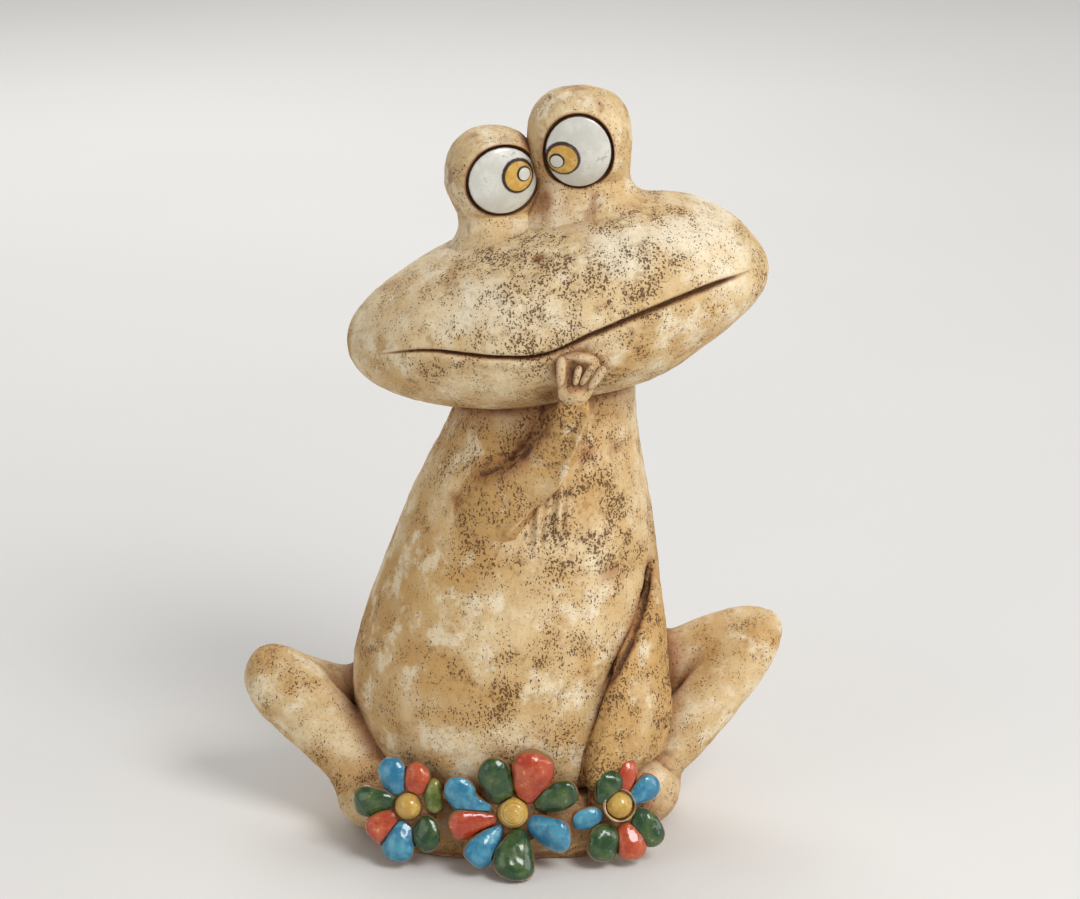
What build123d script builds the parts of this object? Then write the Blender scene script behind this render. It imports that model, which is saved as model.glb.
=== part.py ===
"""Seated frog figurine, hand built from stoneware clay and fired.

Hollow body and head, rolled legs and arms, ball eyes and pressed-on flowers are separate pieces of clay,
joined face to face with slip. Nothing on it moves.
Frame: millimetres, +Z up, origin at the centre of the ring that the base stands on.
The frog faces -Y. Left and right are the frog's own, so its left side is +X.
"""

from build123d import *
from math import copysign, cos, pi, radians, sin, sqrt
import os

# Clay work shared by all pieces
wall = 6.5
vent_diameter = 12.0
overrun = 4.0
body_steps = 16
lobe_steps = 8
lobe_stations = 8
tip_share = 0.12

# Base slab: an oblong with rounded sides, hollowed underneath to leave a foot ring
base_width = 92.0
base_depth = 90.0
base_height = 20.0
base_squareness = 3.2
foot_ring_width = 9.0
foot_recess_depth = 10.0
base_shares = [  # height, outline
    (0.00, 0.955),
    (0.20, 0.990),
    (0.55, 1.000),
    (0.85, 0.975),
    (1.00, 0.920),
]

# Body: a pear that leans to the frog's left as it rises, from the base to the middle of the head
torso_width = 98.6
torso_front_depth = 45.5
torso_back_depth = 44.0
torso_height = 145.4
torso_lean = 13.7
torso_squareness = 2.15
torso_shares = [  # height, lean, half width, depth
    (0.000, 0.00, 0.830, 0.905),
    (0.040, 0.00, 0.930, 0.970),
    (0.100, -0.03, 0.985, 0.995),
    (0.193, -0.03, 1.000, 1.000),
    (0.321, 0.05, 0.938, 0.950),
    (0.459, 0.25, 0.838, 0.850),
    (0.628, 0.47, 0.696, 0.715),
    (0.766, 0.73, 0.566, 0.610),
    (0.880, 0.88, 0.515, 0.570),
    (1.000, 1.00, 0.490, 0.550),
]

# Head: a long lens across the body, rolled so that the frog's left cheek is higher
head_length = 128.6
head_up = 28.6
head_down = 29.2
head_front = 41.0
head_back = 34.0
head_forward = 6.0
head_roll = 11.4
head_squareness = 2.1
head_shares = [  # along the half length, upper, lower, depth
    (-1.000, 0.06, 0.06, 0.06),
    (-0.965, 0.24, 0.26, 0.25),
    (-0.880, 0.42, 0.46, 0.46),
    (-0.720, 0.62, 0.66, 0.68),
    (-0.480, 0.83, 0.83, 0.87),
    (-0.200, 0.98, 0.94, 0.98),
    (0.100, 1.03, 0.93, 1.00),
    (0.400, 1.02, 0.87, 0.92),
    (0.680, 0.88, 0.67, 0.73),
    (0.870, 0.61, 0.46, 0.50),
    (0.965, 0.30, 0.25, 0.27),
    (1.000, 0.06, 0.06, 0.06),
]

# Mouth: one knife line across the whole front of the head
mouth_gap = 1.4
mouth_depth = 2.6
mouth_shares = [  # along the half length, height
    (-0.870, 0.05),
    (-0.600, 0.09),
    (-0.280, -0.06),
    (-0.090, -0.115),
    (0.155, 0.00),
    (0.570, 0.13),
    (0.770, 0.145),
    (0.945, 0.11),
]

# Eyes: clay balls on short stalks, each with a pocket for a glazed white, an iris and a highlight
left_ball_radius = 16.4
left_stalk = 21.6
left_ball_along_share = 0.095
left_stalk_shares = (0.92, 0.94)  # neck, foot
left_white_width = 21.0
left_white_height = 23.6
left_gaze_turn = -2.0
left_gaze_lift = -3.0
left_iris_radius = 5.1
left_iris_shares = (-0.467, -0.145)  # across the half width, up the half height
right_ball_radius = 14.3
right_stalk = 16.2
right_ball_along_share = -0.3213
right_stalk_shares = (0.74, 0.74)
right_white_width = 22.0
right_white_height = 22.0
right_gaze_turn = 19.0
right_gaze_lift = 4.0
right_iris_radius = 4.7
right_iris_shares = (0.364, 0.110)
ball_back = 2.0
ball_shares = [  # radius, height, from the crown to the middle of the ball
    (0.50, 0.866),
    (0.866, 0.50),
    (1.00, 0.00),
]
eye_groove = 0.6
eye_sink = 0.8
white_rim = 1.6
white_crown = 3.2
iris_rise = 0.7
highlight_rise = 0.6
highlight_share = 0.39
highlight_offset_share = 0.37

# Legs: clubs of clay, the shin in front of the thigh, knees raised beside the body
right_knee_reach = 22.6
right_knee_height = 42.2
right_knee_forward = 5.0
right_knee_radius = 13.2
right_ankle_radius = 9.0
right_ankle_inset = 5.0
right_ankle_height = 16.0
right_ankle_forward = 22.0
right_shin_shares = (1.02, 0.62, 3.4)  # start, end, bluntness
left_knee_reach = 27.2
left_knee_height = 53.6
left_knee_forward = -3.0
left_knee_radius = 10.2
left_ankle_radius = 9.0
left_ankle_inset = 1.0
left_ankle_height = 20.0
left_ankle_forward = 15.0
left_shin_shares = (0.90, 0.92, 3.0)
hip_inset = 14.0
hip_back = 12.0
right_hip_height = 25.0
left_hip_height = 34.0
right_thigh_radius = 10.0
left_thigh_radius = 12.0
thigh_knee_back = 6.0
right_thigh_knee_rise = 0.0
left_thigh_knee_rise = 1.5
thigh_shares = (1.00, 0.85, 3.4)

# Feet: rounded lobes against the sides of the base
right_foot_reach = 9.2
right_foot_length = 46.0
right_foot_width = 27.0
right_foot_height = 23.0
right_foot_forward = 36.0
left_foot_reach = 6.8
left_foot_length = 48.0
left_foot_width = 27.0
left_foot_height = 26.0
left_foot_forward = 34.0
foot_clearance = 0.5
foot_shares = (0.95, 1.00, 2.8)

# Raised right arm: from the belly up to the lower lip
right_arm_width = 22.0
right_arm_thickness = 13.0
right_arm_shares = [  # across the half width, up the height, width, stand-off from the body
    (-0.527, 0.495, 0.64, -0.36),
    (-0.345, 0.557, 1.00, -0.24),
    (-0.142, 0.636, 0.91, -0.02),
    (0.061, 0.695, 0.73, 0.24),
    (0.193, 0.750, 0.66, 0.55),
    (0.284, 0.808, 0.55, 0.90),
]

# Right hand: a small paddle on the lower lip, with four short fingers fanned over it
hand_width = 13.5
hand_length = 17.0
hand_thickness = 8.0
hand_along_share = 0.085
hand_height_share = -0.44
hand_lean = 8.0
hand_shares = (0.62, 1.10, 3.2)
finger_length = 10.5
finger_width = 3.2
finger_place_shares = [  # across the hand, up the hand, length
    (-0.27, 0.30, 1.00),
    (-0.07, 0.40, 0.95),
    (0.10, 0.44, 0.72),
    (0.23, 0.34, 0.88),
]
finger_angles = (10.0, -2.0, -20.0, -29.0)
finger_shares = (0.85, 1.05, 4.0)

# Hanging left arm: a flat paddle against the flank, wider towards the hand
left_arm_width = 30.0
left_arm_thickness = 10.0
left_arm_shares = [
    (0.860, 0.440, 0.14, -0.10),
    (0.865, 0.395, 0.30, 0.02),
    (0.845, 0.320, 0.52, 0.12),
    (0.800, 0.235, 0.78, 0.18),
    (0.735, 0.145, 0.98, 0.20),
    (0.680, 0.075, 1.00, 0.12),
    (0.650, 0.015, 0.85, 0.00),
]

# Flowers: a bead and pressed egg-shaped petals on a low mound of clay, along the front of the base
flower_height_share = 0.93
flower_stand = 3.6
mound_share = 0.50
mound_rise = 3.0
mound_root = 10.0
petal_stand = 1.0
petal_thickness_share = 0.62
petal_bluntness = 2.3
petal_end_shares = (1.75, 0.80)  # outer end of an even petal, what the narrow end takes from it
bead_stand = 2.0
bead_root = 9.0
ring_width = 1.0
ring_gap = 0.3
right_bead_diameter = 7.6
right_flower_reach = 16.6
right_flower_place_share = -0.650
right_flower_turn = -14.0
right_flower_lean = 20.0
right_flower_droop = 20.0
right_petal_shares = [  # inner end across and up, outer end across and up, width, narrow end, bend, colour
    (-0.270, 0.240, -0.470, 0.870, 0.51, 0.75, 0.0, "blue"),
    (0.120, 0.240, 0.090, 0.825, 0.46, 0.85, 0.0, "red"),
    (0.500, 0.680, 0.480, -0.070, 0.33, 0.85, 0.0, "lime"),
    (0.405, -0.150, 0.435, -0.775, 0.49, 0.95, 0.0, "green"),
    (-0.045, -0.310, -0.195, -1.000, 0.55, 0.65, 0.0, "blue"),
    (-0.225, -0.140, -0.670, -0.655, 0.51, 0.60, 0.0, "red"),
    (-0.270, 0.095, -1.060, 0.020, 0.52, 0.60, 0.0, "green"),
]
middle_bead_diameter = 8.8
middle_flower_reach = 20.6
middle_flower_place_share = 0.011
middle_flower_turn = 0.0
middle_flower_lean = 2.0
middle_flower_droop = 30.0
middle_petal_shares = [
    (-0.160, 0.155, -0.345, 0.870, 0.47, 0.75, 0.0, "green"),
    (0.230, 0.140, 0.345, 0.975, 0.55, 0.50, 0.0, "red"),
    (0.345, 0.095, 0.930, 0.390, 0.44, 0.65, 0.0, "green"),
    (0.250, -0.085, 0.860, -0.400, 0.48, 0.70, -0.06, "blue"),
    (0.120, -0.265, -0.035, -0.980, 0.56, 0.55, 0.0, "green"),
    (-0.190, -0.205, -0.640, -0.750, 0.42, 0.40, 0.0, "blue"),
    (-0.245, -0.105, -0.955, -0.220, 0.41, 0.45, 0.0, "red"),
    (-0.330, 0.090, -0.800, 0.590, 0.41, 0.50, 0.28, "blue"),
]
left_bead_diameter = 7.6
left_flower_reach = 16.6
left_flower_place_share = 0.700
left_flower_turn = 14.0
left_flower_lean = 20.0
left_flower_droop = 20.0
left_petal_shares = [
    (-0.390, 0.050, -0.060, 0.670, 0.48, 0.65, 0.0, "green"),
    (0.140, 0.230, 0.310, 0.835, 0.32, 0.80, 0.0, "red"),
    (0.330, 0.045, 0.720, 0.450, 0.43, 0.75, 0.0, "blue"),
    (0.365, -0.105, 0.710, -0.785, 0.48, 0.85, 0.0, "green"),
    (0.085, -0.375, 0.230, -1.010, 0.49, 0.70, 0.0, "red"),
    (-0.300, -0.350, -0.445, -0.970, 0.55, 0.85, 0.0, "green"),
    (-0.390, -0.145, -0.895, -0.180, 0.39, 0.90, 0.0, "blue"),
]


# Forms

def oval(right, left, up, down, squareness, steps=body_steps):
    """Closed face of four quarter superellipses with the given half lengths; squareness 2 is an ellipse."""
    points = []
    for step in range(steps):
        angle = 2 * pi * step / steps
        across = copysign(abs(cos(angle)) ** (2 / squareness), cos(angle))
        along = copysign(abs(sin(angle)) ** (2 / squareness), sin(angle))
        points.append((across * (right if across > 0 else left), along * (up if along > 0 else down)))
    return Face(Wire([Spline(*points, periodic=True)]))


def ellipse(half_width, half_height):
    return oval(half_width, half_width, half_height, half_height, 2, lobe_steps)


def lobe(length, half_width, half_thickness, shape_shares, bend_share=0):
    """Closed lobe along +X from the origin, with elliptical sections and both ends rounded to a small tip.

    At a share t of the length the size is (1 - |2t - 1| ** bluntness) ** (1 / 2), times a straight taper from
    the start share to the end share. The middle line bows towards +Y by 4t(1 - t) times the bend share.
    """
    start_share, end_share, bluntness = shape_shares
    sections = []
    for step in range(lobe_stations + 1):
        along_share = (1 - cos(pi * step / lobe_stations)) / 2
        round_share = max(tip_share, (1 - abs(2 * along_share - 1) ** bluntness) ** (1 / 2))
        size_share = round_share * (start_share + (end_share - start_share) * along_share)
        bow = bend_share * 4 * along_share * (1 - along_share)
        slope = bend_share * 4 * (1 - 2 * along_share)
        plane = Plane((length * along_share, length * bow, 0), x_dir=(-slope, 1, 0), z_dir=(1, slope, 0))
        sections.append(plane * ellipse(half_width * size_share, half_thickness * size_share))
    return loft(sections)


def lie(origin, along, facing):
    """Plane whose X runs along a direction and whose Z is the facing direction made square to it."""
    along = Vector(*along).normalized()
    facing = Vector(*facing)
    return Plane(origin, x_dir=along, z_dir=facing - along * facing.dot(along))


def boxes_meet(one, other):
    a, b = one.bounding_box(), other.bounding_box()
    low = max(a.min.X - b.max.X, a.min.Y - b.max.Y, a.min.Z - b.max.Z)
    high = max(b.min.X - a.max.X, b.min.Y - a.max.Y, b.min.Z - a.max.Z)
    return max(low, high) < 0


def trim(form, neighbours):
    """What is left of a form where its neighbours already are: its largest remaining solid."""
    for neighbour in neighbours:
        if boxes_meet(form, neighbour):
            form = form - neighbour
    return max(form.solids(), key=lambda solid: solid.volume)


# Base

base_half_width = base_width / 2
base_half_depth = base_depth / 2


def base_outline(inset, outline_share=1):
    half_width = base_half_width * outline_share - inset
    half_depth = base_half_depth * outline_share - inset
    return oval(half_width, half_width, half_depth, half_depth, base_squareness)


base_form = loft([Pos(0, 0, base_height * height) * base_outline(0, outline) for height, outline in base_shares])
recess = extrude(base_outline(foot_ring_width), foot_recess_depth)
base_vent = Pos(0, 0, base_height / 2) * Cylinder(vent_diameter / 2, base_height + overrun)
base = base_form - recess - base_vent


def base_front(across):
    """How far the base's front stands out at a place across it."""
    across_share = min(abs(across) / base_half_width, 1)
    return base_half_depth * (1 - across_share ** base_squareness) ** (1 / base_squareness)


# Body

torso_half_width = torso_width / 2


def torso_sections(inset, low):
    sections = []
    for height, lean, width, depth in torso_shares:
        z = base_height + torso_height * height
        if height == 0:
            z = z - low
        half_width = torso_half_width * width - inset
        section = oval(half_width, half_width, torso_back_depth * depth - inset,
                       torso_front_depth * depth - inset, torso_squareness)
        sections.append(Pos(torso_lean * lean, 0, z) * section)
    return sections


torso_form = loft(torso_sections(0, 0))
torso_hollow = loft(torso_sections(wall, overrun))


def torso_at(height_share):
    """Lean, half width and front depth of the body at a share of its height, between two stations."""
    for lower, upper in zip(torso_shares, torso_shares[1:]):
        if height_share <= upper[0]:
            step = (height_share - lower[0]) / (upper[0] - lower[0])
            lean, width, depth = (a + (b - a) * step for a, b in zip(lower[1:], upper[1:]))
            break
    return torso_lean * lean, torso_half_width * width, torso_front_depth * depth


def torso_front(across, height_share):
    """Point on the front of the body and the direction that its skin faces there, seen from above."""
    lean, half_width, depth = torso_at(height_share)
    side = max(-1, min(1, (across - lean) / half_width))
    front = (1 - abs(side) ** torso_squareness) ** (1 / torso_squareness)
    point = Vector(across, -depth * front, base_height + torso_height * height_share)
    return point, Vector(side / half_width, -front / depth, 0).normalized()


# Head

head_half_length = head_length / 2
head_height = base_height + torso_height
head_place = Pos(torso_lean, -head_forward, head_height) * Rot(0, -head_roll, 0)


def head_lens(inset):
    """The head's lens lying along X about the origin, made smaller all round by the inset."""
    half_length = head_half_length - inset
    shrink = 1 - inset / min(head_up, head_down)
    sections = []
    for along, upper, lower, depth in head_shares:
        plane = Plane((half_length * along, 0, 0), x_dir=(0, 1, 0), z_dir=(1, 0, 0))
        section = oval(head_back * depth * shrink, head_front * depth * shrink, head_up * upper * shrink,
                       head_down * lower * shrink, head_squareness)
        sections.append(plane * section)
    return loft(sections)


def mouth_line():
    """Thin leaf along the mouth in the head's own XZ plane, pointed at both corners."""
    line = [(head_half_length * along, head_up * height) for along, height in mouth_shares]
    left_corner, right_corner = line[0], line[-1]
    upper = [(x, z + mouth_gap / 2) for x, z in line[1:-1]]
    lower = [(x, z - mouth_gap / 2) for x, z in line[1:-1]]
    edges = [Spline(left_corner, *upper, right_corner), Spline(left_corner, *lower, right_corner)]
    return Plane.XZ * Face(Wire(edges))


head_form = head_place * head_lens(0)
mouth = extrude(mouth_line(), head_front + overrun, dir=(0, -1, 0)) - head_lens(mouth_depth)
neck_vent = Pos(torso_lean, 0, head_height) * Cylinder(
    vent_diameter / 2, head_down + overrun, align=(Align.CENTER, Align.CENTER, Align.MAX))
head = head_place * (head_lens(0) - head_lens(wall) - mouth) - neck_vent
torso = torso_form - torso_hollow - head_form


def head_point(along_share, height_share):
    """Point on the front of the head at shares of its half length and lower height, and its facing."""
    depth_share = sqrt(max(0, 1 - along_share ** 2 - height_share ** 2))
    place = Pos(head_half_length * along_share, -head_front * depth_share, head_down * height_share)
    facing = Vector(0, -depth_share / head_front, height_share / head_down)
    return (head_place * place).position, facing.normalized()


# Eyes

def eye_ball(along_share, radius, stalk, stalk_shares):
    """Ball on a stalk that flares where it meets the head, and the centre of the ball."""
    neck_share, foot_share = stalk_shares
    crown = (0, radius)
    foot = (radius * foot_share, -stalk)
    root = (radius * foot_share, -stalk - head_up)
    outline = Spline(crown, *[(radius * r, radius * h) for r, h in ball_shares],
                     (radius * neck_share, -stalk / 2), foot)
    profile = Face(Wire([outline, *Polyline(foot, root, (0, root[1]), crown).edges()]))
    along = head_half_length * along_share
    centre = Vector(torso_lean + along * cos(radians(head_roll)), -ball_back - head_forward,
                    head_height + along * sin(radians(head_roll)) + head_up + stalk)
    return Pos(*centre) * revolve(Plane.XZ * profile, Axis.Z), centre


def gaze(centre, turn, lift):
    """Plane at the ball's centre whose Z is the way the eye looks and whose X runs to the frog's left."""
    look = Vector(sin(radians(turn)) * cos(radians(lift)), -cos(radians(turn)) * cos(radians(lift)),
                  sin(radians(lift)))
    return Plane(centre, x_dir=(cos(radians(turn)), sin(radians(turn)), 0), z_dir=look)


def dome_pad(dome_radius, rise, radius, place):
    """Round pad of even thickness lying on a dome about the origin."""
    pad = Pos(*place) * Cylinder(radius, dome_radius + rise, align=(Align.CENTER, Align.CENTER, Align.MIN))
    return (pad & Sphere(dome_radius + rise)) - Sphere(dome_radius)


def eye(ball_form, centre, radius, width, height, turn, lift, iris_radius, iris_shares):
    """Ball with its pocket, and the white, iris and highlight that lie in it."""
    half_width, half_height = width / 2, height / 2
    larger = max(half_width, half_height)
    view = gaze(centre, turn, lift)
    seat = sqrt(radius ** 2 - min(larger + eye_groove, radius) ** 2) - eye_sink
    pocket = extrude(Pos(0, 0, seat) * ellipse(half_width + eye_groove, half_height + eye_groove), radius)
    dome_radius = (larger ** 2 + white_crown ** 2) / (2 * white_crown)
    dome_centre = seat + white_rim + white_crown - dome_radius
    dome = Pos(0, 0, dome_centre)
    white = extrude(Pos(0, 0, seat) * ellipse(half_width, half_height), radius) & dome * Sphere(dome_radius)
    iris_place = Vector(half_width * iris_shares[0], half_height * iris_shares[1], 0)
    highlight_place = iris_place + iris_place.normalized() * iris_radius * highlight_offset_share
    iris = dome * dome_pad(dome_radius, iris_rise, iris_radius, iris_place)
    highlight = dome * dome_pad(dome_radius + iris_rise, highlight_rise, iris_radius * highlight_share,
                                highlight_place)
    return ball_form - view * pocket, view * white, view * iris, view * highlight


left_ball_form, left_centre = eye_ball(left_ball_along_share, left_ball_radius, left_stalk, left_stalk_shares)
right_ball_form, right_centre = eye_ball(right_ball_along_share, right_ball_radius, right_stalk,
                                         right_stalk_shares)
left_eye = eye(left_ball_form, left_centre, left_ball_radius, left_white_width, left_white_height,
               left_gaze_turn, left_gaze_lift, left_iris_radius, left_iris_shares)
right_eye = eye(right_ball_form, right_centre, right_ball_radius, right_white_width, right_white_height,
                right_gaze_turn, right_gaze_lift, right_iris_radius, right_iris_shares)
left_eye_ball = trim(left_eye[0], [head_form])
right_eye_ball = trim(right_eye[0], [head_form, left_ball_form])
right_eye_white = trim(right_eye[1], [left_ball_form])

# Legs and feet

def club(start, end, start_radius, end_radius, radius, shares):
    """Round club between two joint centres, reaching past each by the radius there."""
    start, end = Vector(*start), Vector(*end)
    along = (end - start).normalized()
    tip = start - along * start_radius
    length = (end - start).length + start_radius + end_radius
    return lie(tip, along, (0, -1, 0)) * lobe(length, radius, radius, shares)


def leg(side, knee_reach, knee_height, knee_forward, knee_radius, ankle_radius, ankle_inset, ankle_height,
        ankle_forward, shin_shares, hip_height, thigh_radius, thigh_knee_rise):
    """Shin and thigh of one leg; side is -1 for the frog's right and 1 for its left."""
    knee = (side * (torso_half_width + knee_reach), -knee_forward, knee_height)
    ankle = (side * (base_half_width - ankle_inset), -ankle_forward, ankle_height)
    hip = (side * (torso_half_width - hip_inset), hip_back, hip_height)
    thigh_end = (knee[0], knee[1] + thigh_knee_back, knee[2] + thigh_knee_rise)
    shin = club(knee, ankle, knee_radius, ankle_radius, knee_radius, shin_shares)
    thigh = club(hip, thigh_end, thigh_radius, knee_radius / 2, thigh_radius, thigh_shares)
    return shin, thigh


def foot(side, reach, length, width, height, forward):
    """Lobe that points forward beside the base and stands out from its side by the reach."""
    heel = (side * (base_half_width + reach - width / 2), length - forward, height / 2 + foot_clearance)
    return lie(heel, (0, -1, 0), (0, 0, 1)) * lobe(length, width / 2, height / 2, foot_shares)


right_shin_form, right_thigh_form = leg(
    -1, right_knee_reach, right_knee_height, right_knee_forward, right_knee_radius, right_ankle_radius,
    right_ankle_inset, right_ankle_height, right_ankle_forward, right_shin_shares, right_hip_height,
    right_thigh_radius, right_thigh_knee_rise)
left_shin_form, left_thigh_form = leg(
    1, left_knee_reach, left_knee_height, left_knee_forward, left_knee_radius, left_ankle_radius,
    left_ankle_inset, left_ankle_height, left_ankle_forward, left_shin_shares, left_hip_height,
    left_thigh_radius, left_thigh_knee_rise)
right_foot_form = foot(-1, right_foot_reach, right_foot_length, right_foot_width, right_foot_height,
                       right_foot_forward)
left_foot_form = foot(1, left_foot_reach, left_foot_length, left_foot_width, left_foot_height,
                      left_foot_forward)
body_forms = [base_form, torso_form]
right_shin = trim(right_shin_form, body_forms)
left_shin = trim(left_shin_form, body_forms)
right_thigh = trim(right_thigh_form, body_forms + [right_shin_form])
left_thigh = trim(left_thigh_form, body_forms + [left_shin_form])
right_foot = trim(right_foot_form, body_forms + [right_shin_form, right_thigh_form])
left_foot = trim(left_foot_form, body_forms + [left_shin_form, left_thigh_form])
leg_forms = [right_shin_form, left_shin_form, right_thigh_form, left_thigh_form, right_foot_form, left_foot_form]

# Arms

def arm_stations(shares, width, thickness):
    """Centre, facing direction and half sizes of an arm at each of its stations along the body."""
    stations = []
    for across_share, height_share, width_share, stand_share in shares:
        point, facing = torso_front(torso_half_width * across_share, height_share)
        centre = point + facing * thickness * stand_share
        stations.append((centre, facing, width * width_share / 2, thickness * sqrt(width_share) / 2))
    return stations


def arm(stations):
    """Loft of flattened ovals along the stations, each square to the line through its neighbours."""
    sections = []
    centres = [station[0] for station in stations]
    before = [centres[0]] + centres[:-1]
    after = centres[1:] + [centres[-1]]
    for (centre, facing, half_width, half_thickness), back, front in zip(stations, before, after):
        along = (front - back).normalized()
        plane = Plane(centre, x_dir=along.cross(facing), z_dir=along)
        sections.append(plane * ellipse(half_width, half_thickness))
    return loft(sections)


hand_centre, hand_facing = head_point(hand_along_share, hand_height_share)
hand_rise = hand_facing.cross(Vector(1, 0, 0))
hand_along = hand_rise * cos(radians(hand_lean)) + Vector(sin(radians(hand_lean)), 0, 0)
hand_across = hand_along.cross(hand_facing)
hand_plane = lie(hand_centre - hand_along * hand_length / 2, hand_along, hand_facing)
right_hand_form = hand_plane * lobe(hand_length, hand_width / 2, hand_thickness / 2, hand_shares)
wrist_share = hand_shares[0]
right_arm_stations = arm_stations(right_arm_shares, right_arm_width, right_arm_thickness)
right_arm_stations.append((hand_plane.origin + hand_along * hand_length / 4, hand_facing,
                           hand_width * wrist_share / 2, hand_thickness * wrist_share / 2))
right_arm_form = arm(right_arm_stations)
left_arm_form = arm(arm_stations(left_arm_shares, left_arm_width, left_arm_thickness))
right_hand = trim(right_hand_form, [head_form, torso_form])
right_arm = trim(right_arm_form, [torso_form, head_form, right_hand_form])
left_arm = trim(left_arm_form, body_forms + leg_forms)

right_fingers = []
for (spread_share, root_share, length_share), angle in zip(finger_place_shares, finger_angles):
    swing = radians(angle)
    along = hand_along * cos(swing) - hand_across * sin(swing)
    root = hand_plane.origin + hand_along * hand_length * root_share
    root = root + hand_across * hand_width * spread_share + hand_facing * hand_thickness / 3
    finger_form = lie(root, along, hand_facing) * lobe(finger_length * length_share, finger_width / 2,
                                                       finger_width / 2, finger_shares)
    right_fingers.append(trim(finger_form, [head_form, right_hand_form] + right_fingers))

# Flowers

def cap(radius, rise, root):
    """Round mound about +Z: a shallow spherical cap on a root that goes down behind it."""
    sphere_radius = (radius ** 2 + rise ** 2) / (2 * rise)
    middle = (radius / 2, sqrt(sphere_radius ** 2 - (radius / 2) ** 2) - sphere_radius + rise)
    outline = [*Polyline((0, rise), (0, -root), (radius, -root), (radius, 0)).edges(),
               ThreePointArc((radius, 0), middle, (0, rise))]
    return revolve(Plane.XZ * Face(Wire(outline)), Axis.Z)


def flower(place_share, turn, lean, droop, reach, bead_diameter, petal_shares, with_ring, neighbours):
    """Mound, bead, clay ring and petals of one flower, each cut by what was there before it, and whole forms.

    Petals above the bead lean back by one angle and those below it droop forward by another.
    """
    face = Vector(sin(radians(turn)), -cos(radians(turn)), 0)
    right = Vector(cos(radians(turn)), sin(radians(turn)), 0)
    across = base_half_width * place_share
    centre = Vector(across, -base_front(across), base_height * flower_height_share) + face * flower_stand
    tilt = radians(lean + droop) / 2
    flat = Plane(centre, x_dir=right, z_dir=face * cos(tilt) + Vector(0, 0, sin(tilt)))

    def on_flower(across_share, up_share):
        slope = radians(lean if up_share > 0 else droop)
        rise = Vector(0, 0, cos(slope)) - face * sin(slope)
        return centre + face * petal_stand + right * reach * across_share + rise * reach * up_share

    bead_radius = bead_diameter / 2
    forms = {"mound": flat * cap(reach * mound_share, mound_rise, mound_root),
             "bead": flat * Pos(0, 0, bead_stand) * cap(bead_radius, bead_radius, bead_root)}
    if with_ring:
        ring_inside = bead_radius + ring_gap
        forms["ring"] = flat * (Cylinder(ring_inside + ring_width, bead_root)
                                - Cylinder(ring_inside, bead_root + overrun))
    even_end, narrow_part = petal_end_shares
    for number, (*ends, width, narrow, bend, colour) in enumerate(petal_shares, 1):
        inner, outer = on_flower(*ends[:2]), on_flower(*ends[2:])
        half_width = reach * width / 2
        egg_shares = (narrow, even_end - narrow_part * narrow, petal_bluntness)
        egg = lobe((outer - inner).length, half_width, half_width * petal_thickness_share, egg_shares, bend)
        forms["%s_petal_%d" % (colour, number)] = lie(inner, outer - inner, face) * egg
    pieces = {}
    taken = list(neighbours)
    for piece_name, form in forms.items():
        pieces[piece_name] = trim(form, taken)
        taken.append(form)
    return pieces, list(forms.values())


nodes = {
    "base": base,
    "torso": torso,
    "head": head,
    "left_eye_ball": left_eye_ball,
    "left_eye_white": left_eye[1],
    "left_iris": left_eye[2],
    "left_highlight": left_eye[3],
    "right_eye_ball": right_eye_ball,
    "right_eye_white": right_eye_white,
    "right_iris": right_eye[2],
    "right_highlight": right_eye[3],
    "right_arm": right_arm,
    "right_hand": right_hand,
    "left_arm": left_arm,
    "right_shin": right_shin,
    "right_thigh": right_thigh,
    "right_foot": right_foot,
    "left_shin": left_shin,
    "left_thigh": left_thigh,
    "left_foot": left_foot,
}
for number, finger in enumerate(right_fingers, 1):
    nodes["right_finger_%d" % number] = finger
flowers = [
    ("middle", middle_flower_place_share, middle_flower_turn, middle_flower_lean, middle_flower_droop,
     middle_flower_reach, middle_bead_diameter, middle_petal_shares, False, []),
    ("right", right_flower_place_share, right_flower_turn, right_flower_lean, right_flower_droop,
     right_flower_reach, right_bead_diameter, right_petal_shares, False, [right_foot_form, right_shin_form]),
    ("left", left_flower_place_share, left_flower_turn, left_flower_lean, left_flower_droop,
     left_flower_reach, left_bead_diameter, left_petal_shares, True,
     [left_arm_form, left_foot_form, left_shin_form]),
]
flower_forms = []
for name, *sizes, limbs in flowers:
    pieces, forms = flower(*sizes, body_forms + limbs + flower_forms)
    flower_forms += forms
    for piece_name, piece in pieces.items():
        nodes["%s_flower_%s" % (name, piece_name)] = piece

os.makedirs("parts", exist_ok=True)
for name, solid in nodes.items():
    export_step(solid, "parts/%s.step" % name)
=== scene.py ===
import bpy
import numpy as np
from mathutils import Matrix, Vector


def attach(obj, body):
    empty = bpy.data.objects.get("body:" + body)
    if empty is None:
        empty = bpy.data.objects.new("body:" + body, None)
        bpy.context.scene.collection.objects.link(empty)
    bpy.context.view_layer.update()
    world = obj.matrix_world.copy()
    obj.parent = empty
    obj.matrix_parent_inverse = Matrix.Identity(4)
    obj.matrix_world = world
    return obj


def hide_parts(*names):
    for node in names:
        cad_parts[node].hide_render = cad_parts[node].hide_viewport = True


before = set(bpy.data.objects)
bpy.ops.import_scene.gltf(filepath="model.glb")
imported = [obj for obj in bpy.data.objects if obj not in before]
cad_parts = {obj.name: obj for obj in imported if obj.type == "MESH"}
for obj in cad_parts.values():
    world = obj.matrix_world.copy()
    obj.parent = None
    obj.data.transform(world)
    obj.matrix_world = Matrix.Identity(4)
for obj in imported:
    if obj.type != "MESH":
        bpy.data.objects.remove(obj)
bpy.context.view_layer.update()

# Base: an oblong slab of stoneware with soft sides, hollowed underneath so that it stands on a ring.
# It is pressed by hand and fired matt, and a brown wash was rubbed into its pits and along its bottom edge.
base_half_width = 0.0460
base_half_depth = 0.0450
base_height = 0.0200
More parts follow.
